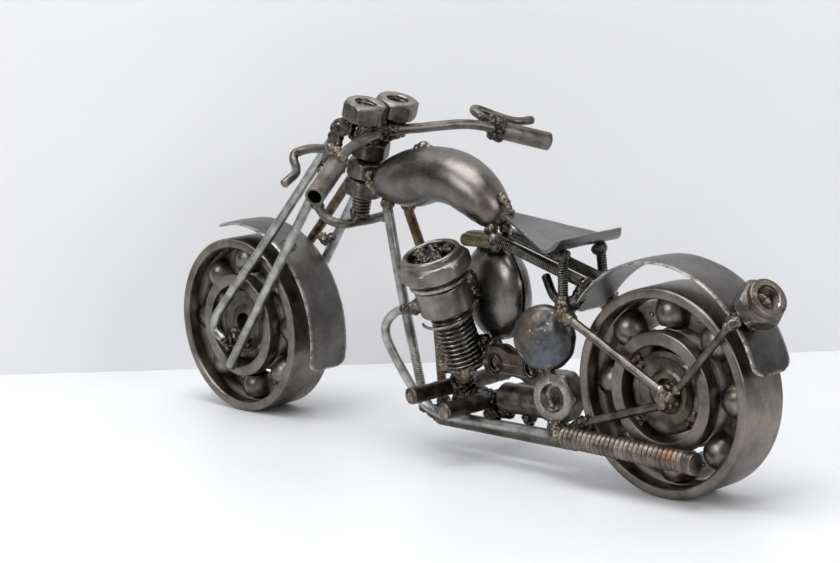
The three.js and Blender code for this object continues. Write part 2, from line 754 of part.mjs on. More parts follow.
// One link of a half-inch bicycle chain: two plates joined by two bushes
function chainLink() {
  const shape = new THREE.Shape();
  const half = CHAIN_PITCH / 2;
  const shoulder = CHAIN_END_RADIUS * Math.sin(Math.PI * 0.4);
  const neck = half - CHAIN_END_RADIUS * Math.cos(Math.PI * 0.4);
  shape.absarc(half, 0, CHAIN_END_RADIUS, -Math.PI * 0.6, Math.PI * 0.6, false);
  shape.quadraticCurveTo(0, CHAIN_WAIST, -neck, shoulder);
  shape.absarc(-half, 0, CHAIN_END_RADIUS, Math.PI * 0.4, Math.PI * 1.6, false);
  shape.quadraticCurveTo(0, -CHAIN_WAIST, neck, -shoulder);
  const plates = [
    sideExtrusion(shape, 0, CHAIN_PLATE, 6),
    sideExtrusion(shape, CHAIN_WIDTH - CHAIN_PLATE, CHAIN_WIDTH, 6),
  ];
  const bushes = [];
  const holes = [];
  for (const x of [-half, half]) {
    const bush = barrel(CHAIN_BUSH_RADIUS, CHAIN_PLATE / 2, CHAIN_WIDTH - CHAIN_PLATE / 2, 10);
    const hole = barrel(CHAIN_HOLE_RADIUS, -1, CHAIN_WIDTH + 1, 10);
    bushes.push(bush.rotateX(-Math.PI / 2).translate(x, 0, 0));
    holes.push(hole.rotateX(-Math.PI / 2).translate(x, 0, 0));
  }
  const link = named("chain_link", cut(joined(...plates, ...bushes), ...holes), darkSteel);
  link.position.copy(CHAIN_PLACE);
  return link;
}

function engineDetails() {
  const group = new THREE.Group();
  const bar = new THREE.BoxGeometry(...HEAD_BAR_SIZE.toArray());
  const headBar = named("head_bar", bar, sheetSteel);
  headBar.position.copy(HEAD_BAR_PLACE);
  const insert = rod(point(58.3, 1.9, 58), point(69.8, 1.9, 58), INSERT_RADIUS, 12);
  const crankcaseBar = rod(point(42.3, -1, 16), point(59.7, -1, 16), CRANKCASE_BAR_RADIUS, 18);
  group.add(headBar);
  group.add(named("knurled_insert", insert, brass));
  group.add(named("crankcase_bar", crankcaseBar, raceFace));
  return group;
}

// ---------------------------------------------------------------- exhaust and pegs

function exhaust() {
  const group = new THREE.Group();
  const header = [
    point(79.3, 14, 40.1),
    point(85.8, 12.6, 38.7),
    point(91, 11.6, 35.1),
    point(92.5, 11, 31.3),
    point(85, HEADER_Y + 0.7, 17.4),
    point(81.2, HEADER_Y + 0.2, 13.3),
    point(75.6, HEADER_Y, 11.2),
    point(69.6, HEADER_Y, 10.9),
    point(42, HEADER_Y, 11.3),
    point(36.6, HEADER_Y + 0.8, 11.6),
    point(28.2, MUFFLER_Y - 0.2, 12.2),
  ];
  group.add(named("exhaust_header", bentRod(header, HEADER_RADIUS, 30, 6), brightRod));
  group.add(named(
    "muffler",
    rod(point(27.4, MUFFLER_Y, 12.3), point(-13.9, MUFFLER_Y, 11.6), MUFFLER_RADIUS, 16),
    rustyRod,
  ));
  return group;
}

function footPegs() {
  const group = new THREE.Group();
  for (const [name, x, z] of [["foot_peg_front", 76, 17.7], ["foot_peg_rear", 63.6, 15.2]]) {
    const left = point(x, PEG_HALF_LENGTH, z);
    group.add(named(name, rod(mirrored(left), left, PEG_RADIUS, 14), darkSteel));
  }
  return group;
}

// ---------------------------------------------------------------- assembly

const motorcycle = new THREE.Group();
motorcycle.add(wheel("rear", 0));
motorcycle.add(wheel("front", WHEELBASE));
motorcycle.add(steeringHead());
motorcycle.add(fork());
motorcycle.add(frontFender());
motorcycle.add(handlebar());
motorcycle.add(grip("grip_left", LEFT_GRIP));
motorcycle.add(grip("grip_right", RIGHT_GRIP));
motorcycle.add(leverLeft());
motorcycle.add(leverRight());
motorcycle.add(gauges());
motorcycle.add(tank());
motorcycle.add(fillerCap());
motorcycle.add(seat());
motorcycle.add(frameRods());
motorcycle.add(rearFender());
motorcycle.add(tailNut());
motorcycle.add(cylinder());
motorcycle.add(domes());
motorcycle.add(clutchCover());
motorcycle.add(sprocketNut());
motorcycle.add(chainLink());
motorcycle.add(engineDetails());
motorcycle.add(exhaust());
motorcycle.add(footPegs());

const box = new THREE.Box3().setFromObject(motorcycle, true);
const middle = box.getCenter(new THREE.Vector3());
motorcycle.position.set(-middle.x, -middle.y, -box.min.z);
motorcycle.updateMatrixWorld(true);

export default motorcycle;
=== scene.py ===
"""Looks of a desk motorcycle figurine welded from bearings, nuts, rods and sheet steel.

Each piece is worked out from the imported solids. A rod's line comes from the ring centres of its
solid, and a nut's axis and size from its flat faces, so the looks follow the frame's dimensions.
Lengths are in metres, written as a number of millimetres times MM.
"""

import math

import bmesh
import bpy
from mathutils import Matrix, Vector, noise


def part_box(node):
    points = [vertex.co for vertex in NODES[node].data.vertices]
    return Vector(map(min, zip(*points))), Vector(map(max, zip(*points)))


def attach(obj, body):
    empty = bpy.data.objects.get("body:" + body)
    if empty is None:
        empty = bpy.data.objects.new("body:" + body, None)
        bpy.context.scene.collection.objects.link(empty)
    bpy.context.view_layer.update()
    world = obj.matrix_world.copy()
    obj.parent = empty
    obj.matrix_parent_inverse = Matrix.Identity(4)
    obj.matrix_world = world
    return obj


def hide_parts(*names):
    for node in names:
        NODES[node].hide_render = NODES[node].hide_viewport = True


MM = 0.001

FORWARD = Vector((1, 0, 0))
BACK = Vector((-1, 0, 0))
LEFT = Vector((0, 1, 0))
RIGHT = Vector((0, -1, 0))
UP = Vector((0, 0, 1))
DOWN = Vector((0, 0, -1))

# Ball bearing wheels
BALL_COUNT = 8
BALL_RADIUS = 4.6 * MM
CAGE_SHEET = 0.5 * MM
CAGE_HALF_RIBBON = 3.1 * MM
CAGE_POCKET_GAP = 0.2 * MM
RIVET_RADIUS = 0.75 * MM

# Threads: pitch and depth
NUT_THREAD = (1.0 * MM, 0.42 * MM)
RAIL_THREAD = (0.62 * MM, 0.22 * MM)
MUFFLER_THREAD = (1.5 * MM, 0.32 * MM)
FIN_THREAD = (1.34 * MM, 0.85 * MM)

# How much of its light the steel gives back: it is heat-darkened all over
DARKNESS = 0.52

# Camera: the view from behind the rider's left shoulder
CAMERA_PLACE = Vector((-392.4, 382.3, 139.4)) * MM
CAMERA_YAW = math.radians(-43.385)
CAMERA_PITCH = math.radians(-9.671)
CAMERA_ROLL = math.radians(-2.861)
CAMERA_LENS = 88.61

# Studio: the wall stands behind the front wheel, at an angle to the figurine
WALL_POINT = Vector((169.1, -0.7, 0)) * MM
WALL_ANGLE = math.radians(40.7)
FLOOR_COLOUR = (0.70, 0.705, 0.72)
WALL_COLOUR = (0.71, 0.71, 0.72)

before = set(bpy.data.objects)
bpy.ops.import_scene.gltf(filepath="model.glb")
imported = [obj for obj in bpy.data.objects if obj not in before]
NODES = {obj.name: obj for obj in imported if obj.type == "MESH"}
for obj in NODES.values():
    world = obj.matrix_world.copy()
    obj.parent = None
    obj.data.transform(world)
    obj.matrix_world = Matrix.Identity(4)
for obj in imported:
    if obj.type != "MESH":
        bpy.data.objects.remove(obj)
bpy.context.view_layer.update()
SCENE = bpy.context.scene


# ---------------------------------------------------------------- reading the frame


def welded_solid(node):
    """A node's solid with the corners of its triangles merged."""
    solid = bmesh.new()
    solid.from_mesh(NODES[node].data)
    bmesh.ops.remove_doubles(solid, verts=solid.verts, dist=0.001 * MM)
    solid.verts.ensure_lookup_table()
    solid.faces.ensure_lookup_table()
    solid.verts.index_update()
    solid.faces.index_update()
    return solid


def same_plane(start, solid_seen):
    """The faces that are joined to start and lie in its plane."""
    group = [start]
    solid_seen.add(start.index)
    for face in group:
        for edge in face.edges:
            for other in edge.link_faces:
                if other.index in solid_seen or other.normal.dot(start.normal) < 0.99995:
                    continue
                solid_seen.add(other.index)
                group.append(other)
    return group


def flats_of(solid):
    """Each flat face of a solid: its normal, area, rim points and corner indices."""
    seen = set()
    found = []
    for face in solid.faces:
        if face.index in seen:
            continue
        group = same_plane(face, seen)
        inside = {f.index for f in group}
        rim = set()
        for member in group:
            for edge in member.edges:
                if sum(f.index in inside for f in edge.link_faces) == 1:
                    rim.update(v.index for v in edge.verts)
        points = [solid.verts[i].co.copy() for i in rim]
        found.append({
            "normal": face.normal.copy(),
            "area": sum(f.calc_area() for f in group),
            "points": points,
            "centre": sum(points, Vector()) / len(points),
            "corners": {v.index for f in group for v in f.verts},
        })
    return sorted(found, key=lambda flat: -flat["area"])


def is_round(flat):
    """True for the end face of a rod: its rim points are all as far from its centre."""
    if not 5 <= len(flat["points"]) <= 40:
        return False
    reach = [(p - flat["centre"]).length for p in flat["points"]]
    return max(reach) < 1.02 * min(reach)


def rings(node, first=None):
    """The rings of points along a rod or a body, as (centre, points), from one end to the other."""
    solid = welded_solid(node)
    if first is None:
        start = next(flat for flat in flats_of(solid) if is_round(flat))["corners"]
    else:
        start = {first(solid.verts).index}
    layer = [solid.verts[i] for i in start]
    seen = set(start)
    found = []
    while layer:
        points = [v.co.copy() for v in layer]
        centre = sum(points, Vector()) / len(points)
        far = [p for p in points if (p - centre).length > 0.2 * MM]
        if len(far) >= 5:
            found.append((sum(far, Vector()) / len(far), far))
        following = {e.other_vert(v) for v in layer for e in v.link_edges}
        layer = [v for v in following if v.index not in seen]
        seen.update(v.index for v in layer)
    solid.free()
    return found


def spine(node):
    """A rod's centre line and radius."""
    found = rings(node)
    radius = (found[0][1][0] - found[0][0]).length
    return [centre for centre, _ in found], radius


def end_of(node, towards):
    """The middle of the end of a rod that lies furthest in a direction."""
    line, _ = spine(node)
    return max((line[0], line[-1]), key=lambda p: p.dot(towards))


def middle(node):
    low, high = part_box(node)
    return (low + high) / 2


def axes_from(z_axis, x_hint, place):
    """The matrix of a place with its Z along z_axis and its X as near as can be to x_hint."""
    z_axis = z_axis.normalized()
    x_axis = (x_hint - z_axis * x_hint.dot(z_axis)).normalized()
    y_axis = z_axis.cross(x_axis)
    matrix = Matrix((x_axis, y_axis, z_axis)).transposed().to_4x4()
    matrix.translation = place
    return matrix


def disc_pose(node, outward=UP):
    """Where a turned piece stands on its largest flat face: Z points out of the body, like outward."""
    solid = welded_solid(node)
    base = flats_of(solid)[0]
    solid.free()
    axis = base["normal"] if base["normal"].dot(outward) > 0 else -base["normal"]
    hint = FORWARD if abs(axis.dot(FORWARD)) < 0.9 else UP
    return axes_from(axis, hint, base["centre"])


def hex_pose(node, outward=UP):
    """A nut's pose at the middle of its height, X through a flat, with its flats, height and bore."""
    solid = welded_solid(node)
    flats = flats_of(solid)
    points = [v.co.copy() for v in solid.verts]
    solid.free()
    face = flats[0]
    axis = face["normal"] if face["normal"].dot(outward) > 0 else -face["normal"]
    sides = [flat for flat in flats if abs(flat["normal"].dot(axis)) < 0.01]
    side = sides[0]
    across = 2 * abs((side["centre"] - face["centre"]).dot(side["normal"]))
    heights = [(p - face["centre"]).dot(axis) for p in side["points"]]
    height = max(heights) - min(heights)
    place = face["centre"] + axis * (max(heights) + min(heights)) / 2
    bore = min((p - place - axis * (p - place).dot(axis)).length for p in points)
    return axes_from(axis, side["normal"], place), across, height, bore


# ---------------------------------------------------------------- meshes


def surface_object(name, verts, faces, matrix=None):
    """A smooth-shaded object with its normals facing outwards and its hard edges kept."""
    mesh = bpy.data.meshes.new(name)
    mesh.from_pydata([tuple(v) for v in verts], [], faces)
    if matrix is not None:
        mesh.transform(matrix)
    shape = bmesh.new()
    shape.from_mesh(mesh)
    bmesh.ops.remove_doubles(shape, verts=shape.verts, dist=0.002 * MM)
    bmesh.ops.dissolve_degenerate(shape, edges=shape.edges, dist=0.001 * MM)
    bmesh.ops.recalc_face_normals(shape, faces=shape.faces)
    shape.to_mesh(mesh)
    shape.free()
    mesh.polygons.foreach_set("use_smooth", [True] * len(mesh.polygons))
    mesh.set_sharp_from_angle(angle=math.radians(42))
    obj = bpy.data.objects.new(name, mesh)
    SCENE.collection.objects.link(obj)
    return obj


def grid_faces(rows, columns, loop_rows=False):
    """Quads between rows of points, each row closed on itself."""
    faces = []
    for i in range(rows if loop_rows else rows - 1):
        below = i * columns
        above = ((i + 1) % rows) * columns
        for j in range(columns):
            k = (j + 1) % columns
            faces.append((below + j, below + k, above + k, above + j))
    return faces


def piece(obj, body, finish, *nodes):
    """Gives an object its finish and its body, and hides the solids that it stands for."""
    obj.data.materials.clear()
    obj.data.materials.append(finish["material"])
    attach(obj, body)
    if nodes:
        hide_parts(*nodes)
    return obj


def roughen(obj, amount, size, seed=0):
    """Moves each point along its normal by noise, as hand-worked metal is never true."""
    offset = Vector((seed * 3.1, seed * 1.7, seed * 2.3))
    mesh = obj.data
    moved = []
    for point, normal in zip(mesh.vertices, mesh.vertex_normals):
        shift = amount * noise.fractal(point.co / size + offset, 1.0, 2.0, 3)
        moved.extend(point.co + normal.vector * shift)
    mesh.vertices.foreach_set("co", moved)
    mesh.update()
    return obj


def filleted(profile, radius, steps=4):
    """A profile of (r, z) points with its inner corners rounded."""
    points = [Vector((r, z)) for r, z in profile]
    out = [points[0]]
    for before, corner, after in zip(points, points[1:], points[2:]):
        reach = min(radius, (before - corner).length * 0.45, (after - corner).length * 0.45)
        start = corner + (before - corner).normalized() * reach
        end = corner + (after - corner).normalized() * reach
        for i in range(steps + 1):
            t = i / steps
            out.append(start * (1 - t) ** 2 + corner * 2 * t * (1 - t) + end * t ** 2)
    out.append(points[-1])
    return [(p.x, p.y) for p in out]


def lathe(name, profile, matrix, segments=72, closed=False):
    """A profile of (r, z) points turned about Z."""
    verts = []
    for r, z in profile:
        for j in range(segments):
            angle = 2 * math.pi * j / segments
            verts.append(Vector((r * math.cos(angle), r * math.sin(angle), z)))
    return surface_object(name, verts, grid_faces(len(profile), segments, closed), matrix)


def smooth_line(points, step):
    """Points about a step apart on a smooth curve through the given points."""
    line = [points[0].copy()]
    padded = [points[0] * 2 - points[1], *points, points[-1] * 2 - points[-2]]
    for a, b, c, d in zip(padded, padded[1:], padded[2:], padded[3:]):
        parts = max(1, round((c - b).length / step))
        for i in range(1, parts + 1):
            t = i / parts
            line.append(0.5 * (
                2 * b + (c - a) * t + (2 * a - 5 * b + 4 * c - d) * t ** 2
                + (3 * b - a - 3 * c + d) * t ** 3
            ))
    return line


def stations_on(line, distances):
    """The points at the given distances along a line of points."""
    out = []
    index = 0
    travelled = 0.0
    for distance in distances:
        while index < len(line) - 2 and travelled + (line[index + 1] - line[index]).length < distance:
            travelled += (line[index + 1] - line[index]).length
            index += 1
        span = (line[index + 1] - line[index]).length or 1.0
        out.append(line[index].lerp(line[index + 1], (distance - travelled) / span))
    return out


def wave(turns):
    """A rounded triangle wave from 0 to 1 and back over each turn."""
    part = abs(2 * (turns - math.floor(turns)) - 1)
    return part * part * (3 - 2 * part)


def plain_rod(radius):
    return lambda s, angle, length: radius


def threaded_rod(radius, thread, start=0.0, end=1.0):
    """A rod whose thread runs from one part of its length to another."""
    pitch, depth = thread

    def at(s, angle, length):
        if not start <= s / length <= end:
            return radius
        return radius - depth * wave(s / pitch - angle / (2 * math.pi))

    return at


def sweep(name, points, radius_at, step, sides=20, end_round=0.3 * MM):
    """A round bar along a line, with its end edges rounded."""
    line = smooth_line(points, 0.5 * MM) if len(points) > 2 else points
    length = sum((b - a).length for a, b in zip(line, line[1:]))
    count = max(2, round((length - 2 * end_round) / step))
    body = [end_round + (length - 2 * end_round) * i / count for i in range(count + 1)]
    lead = [0.0, end_round * 0.12, end_round * 0.45]
    distances = [*lead, *body, *[length - d for d in reversed(lead)]]
    centres = stations_on(line, distances)
    normal = None
    verts = []
    for i, (s, centre) in enumerate(zip(distances, centres)):
        before = centres[max(i - 2, 0)]
        after = centres[min(i + 2, len(centres) - 1)]
        along = (after - before).normalized()
        if normal is None:
            normal = along.orthogonal().normalized()
        normal = (normal - along * normal.dot(along)).normalized()
        side = along.cross(normal)
        near_end = min(s, length - s)
        drop = 0.0
        if near_end < end_round:
            drop = end_round - math.sqrt(end_round ** 2 - (end_round - near_end) ** 2)
        for j in range(sides):
            angle = 2 * math.pi * j / sides
            reach = radius_at(s, angle, length) - drop
            verts.append(centre + (normal * math.cos(angle) + side * math.sin(angle)) * reach)
    faces = grid_faces(len(distances), sides)
    faces.append(tuple(range(sides)))
    faces.append(tuple(range(len(verts) - sides, len(verts))))
    return surface_object(name, verts, faces)


def hex_reach(angle, across):
    """Distance from a hexagon's middle to its edge, with a flat at angle 0."""
    part = (angle + math.pi / 6) % (math.pi / 3) - math.pi / 6
    return min(across / 2 / math.cos(part), across / 2 * 1.12)


def thread_rows(bore, top, bottom, thread):
    """The heights of a threaded bore's rows and a function for its radius there."""
    pitch, depth = thread
    count = max(4, round((top - bottom) / (pitch / 5)))
    heights = [top + (bottom - top) * i / count for i in range(count + 1)]
    return heights, lambda z, angle: bore + depth * wave(z / pitch - angle / (2 * math.pi))


def nut(name, node, thread=NUT_THREAD, outward=UP, collar=None):
    """A hexagon nut with chamfered corners and a threaded bore. A collar is (radius, height)."""
    matrix, across, height, bore = hex_pose(node, outward)
    half = height / 2
    seat = across / 2 * 0.93
    slope = 1.5
    drops = [0.0, 0.01, 0.025, 0.045, 0.07, 0.095]
    sides = 96
    lead = 0.35 * MM
    rows = [lambda a, d=d: (min(hex_reach(a, across), seat + slope * d * across), half - d * across)
            for d in drops]
    rows.reverse()
    if collar is None:
        mouth = half
    else:
        ring, rise = collar
        mouth = half + rise
        rows.append(lambda a: (ring + 0.3 * MM, half))
        rows.append(lambda a: (ring, half + 0.25 * MM))
        rows.append(lambda a: (ring, mouth - 0.25 * MM))
        rows.append(lambda a: (ring - 0.12 * MM, mouth - 0.07 * MM))
        rows.append(lambda a: (ring - 0.3 * MM, mouth))
    rows.append(lambda a: (bore + lead, mouth))
    heights, reach = thread_rows(bore, mouth - lead, lead - half, thread)
    for z in heights:
        rows.append(lambda a, z=z: (reach(z, a), z))
    rows.append(lambda a: (bore + lead, -half))
    for d in drops:
        rows.append(lambda a, d=d: (min(hex_reach(a, across), seat + slope * d * across),
                                    d * across - half))
    verts = []
    for row in rows:
        for j in range(sides):
            angle = 2 * math.pi * j / sides
            r, z = row(angle)
            verts.append(Vector((r * math.cos(angle), r * math.sin(angle), z)))
    obj = surface_object(name, verts, grid_faces(len(rows), sides, True), matrix)
    return roughen(obj, 0.05 * MM, 2.2 * MM, len(name))


def baked(obj):
    """The object with its modifiers applied."""
    graph = bpy.context.evaluated_depsgraph_get()
    mesh = bpy.data.meshes.new_from_object(obj.evaluated_get(graph))
    obj.modifiers.clear()
    old = obj.data
    obj.data = mesh
    bpy.data.meshes.remove(old)
    mesh.name = obj.name
    return obj


def lump(name, spots, voxel=0.26 * MM, ripple=0.35 * MM, seed=1):
    """Weld metal: balls of (centre, radius) melted into one lump with a rippled skin."""
    shape = bmesh.new()
    for centre, radius in spots:
        bmesh.ops.create_icosphere(
            shape, subdivisions=3, radius=radius, matrix=Matrix.Translation(centre)
        )
    mesh = bpy.data.meshes.new(name)
    shape.to_mesh(mesh)
    shape.free()
    obj = bpy.data.objects.new(name, mesh)
    SCENE.collection.objects.link(obj)
    remesh = obj.modifiers.new("melt", "REMESH")
    remesh.mode = "VOXEL"
    remesh.voxel_size = voxel
    soften = obj.modifiers.new("soften", "SMOOTH")
    soften.iterations = 4
    baked(obj)
    roughen(obj, ripple, 1.5 * MM, seed)
    obj.data.polygons.foreach_set("use_smooth", [True] * len(obj.data.polygons))
    return obj


def chain_of(start, end, radius, count=4, taper=0.0):
    """Spots for a bead of weld from one point to another."""
    return [(start.lerp(end, i / (count - 1)), radius * (1 - taper * i / (count - 1)))
            for i in range(count)]


# ---------------------------------------------------------------- materials


class Graph:
    """Short calls for a material's nodes."""

    def __init__(self, tree):
        self.tree = tree

    def put(self, kind, **values):
        node = self.tree.nodes.new(kind)
        for key, value in values.items():
            setattr(node, key, value)
        return node

    def feed(self, node, **inputs):
        """Sets or links a node's inputs; an underscore in a name stands for a space."""
        for key, value in inputs.items():
            socket = node.inputs[key.replace("_", " ")]
            if isinstance(value, bpy.types.NodeSocket):
                self.tree.links.new(value, socket)
            else:
                socket.default_value = value
        return node

    def noise(self, where, scale, detail=3.0, roughness=0.55):
        node = self.put("ShaderNodeTexNoise")
        self.feed(node, Vector=where, Scale=scale, Detail=detail, Roughness=roughness)
        return node.outputs["Fac"]

    def stretch(self, where, scale):
        node = self.put("ShaderNodeMapping")
        self.feed(node, Vector=where, Scale=scale)
        return node.outputs["Vector"]

    def remap(self, value, low, high, to_low=0.0, to_high=1.0):
        node = self.put("ShaderNodeMapRange")
        self.feed(node, Value=value, From_Min=low, From_Max=high, To_Min=to_low, To_Max=to_high)
        return node.outputs["Result"]

    def math(self, operation, a, b):
        node = self.put("ShaderNodeMath", operation=operation, use_clamp=True)
        for socket, value in zip(node.inputs, (a, b)):
            if isinstance(value, bpy.types.NodeSocket):
                self.tree.links.new(value, socket)
            else:
                socket.default_value = value
        return node.outputs[0]

    def mix(self, part, first, second):
        node = self.put("ShaderNodeMix", data_type="RGBA")
        pairs = ((node.inputs[0], part), (node.inputs[6], first), (node.inputs[7], second))
        for socket, value in pairs:
            if isinstance(value, bpy.types.NodeSocket):
                self.tree.links.new(value, socket)
            elif socket.type == "RGBA":
                socket.default_value = (*value, 1.0)
            else:
                socket.default_value = value
        return node.outputs[2]

    def near(self, where, place, radius):
        """1 at a place and 0 beyond a radius from it."""
        gap = self.put("ShaderNodeVectorMath", operation="DISTANCE")
        self.tree.links.new(where, gap.inputs[0])
        gap.inputs[1].default_value = place
        return self.remap(gap.outputs["Value"], radius, 0.0)


def steel(slot, name, colour, dark, roughness=0.32, blotch=160, grain=2600, bump=0.12,
          edge=(0.62, 0.60, 0.57), edge_amount=0.5, brushed=None, tints=(), metallic=1.0):
    """Bare metal: two tones in soft blotches, fine grain, worn bright edges and local tints.

    A tint is (place, radius, colour). brushed is a scale per axis for the grain's direction.
    """
    material = bpy.data.materials.new(name)
    material.use_nodes = True
    tree = material.node_tree
    shader = tree.nodes["Principled BSDF"]
    g = Graph(tree)
    colour = tuple(DARKNESS * c for c in colour)
    dark = tuple(DARKNESS * 0.8 * c for c in dark)
    where = g.put("ShaderNodeTexCoord").outputs["Object"]
    patches = g.noise(where, blotch, 4.0, 0.6)
    tone = g.mix(g.remap(patches, 0.38, 0.64), dark, colour)
    specks = g.noise(where, blotch * 9, 2.0, 0.7)
    tone = g.mix(g.remap(specks, 0.60, 0.74, 0.0, 0.55), tone, tuple(c * 0.45 for c in dark))
    for place, radius, tint in tints:
        local = g.near(where, place, radius)
        ragged = g.math("MULTIPLY", local, g.remap(patches, 0.30, 0.55))
        tone = g.mix(ragged, tone, tuple(DARKNESS * c for c in tint))
    worn = g.put("ShaderNodeNewGeometry").outputs["Pointiness"]
    rim = g.math("MULTIPLY", g.remap(worn, 0.53, 0.62), g.remap(specks, 0.34, 0.60))
    tone = g.mix(g.math("MULTIPLY", rim, edge_amount), tone, edge)
    fine_where = where if brushed is None else g.stretch(where, brushed)
    fine = g.noise(fine_where, grain if brushed is None else 1.0, 3.0, 0.6)
    scuffs = g.math("MULTIPLY", g.remap(patches, 0.35, 0.65), 0.5)
    rough = g.math("ADD", g.remap(fine, 0.3, 0.7, roughness - 0.07, roughness + 0.09),
                   g.math("MULTIPLY", scuffs, 0.22))
    lumps = g.noise(where, blotch * 2.6, 2.0, 0.5)
    height = g.math("ADD", g.math("MULTIPLY", fine, 0.35), g.math("MULTIPLY", lumps, 0.65))
    relief = g.put("ShaderNodeBump")
    g.feed(relief, Strength=bump, Distance=0.35 * MM, Height=height)
    g.feed(shader, Base_Color=tone, Roughness=rough, Normal=relief.outputs["Normal"])
    shader.inputs["Metallic"].default_value = metallic
    return {"material": material, "slot": slot}


CLUTCH = middle("clutch_cover")
TANK = middle("tank")
TANK_LOW, TANK_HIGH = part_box("tank")
MUFFLER_END = end_of("muffler", BACK)
TAIL = middle("tail_light_nut")

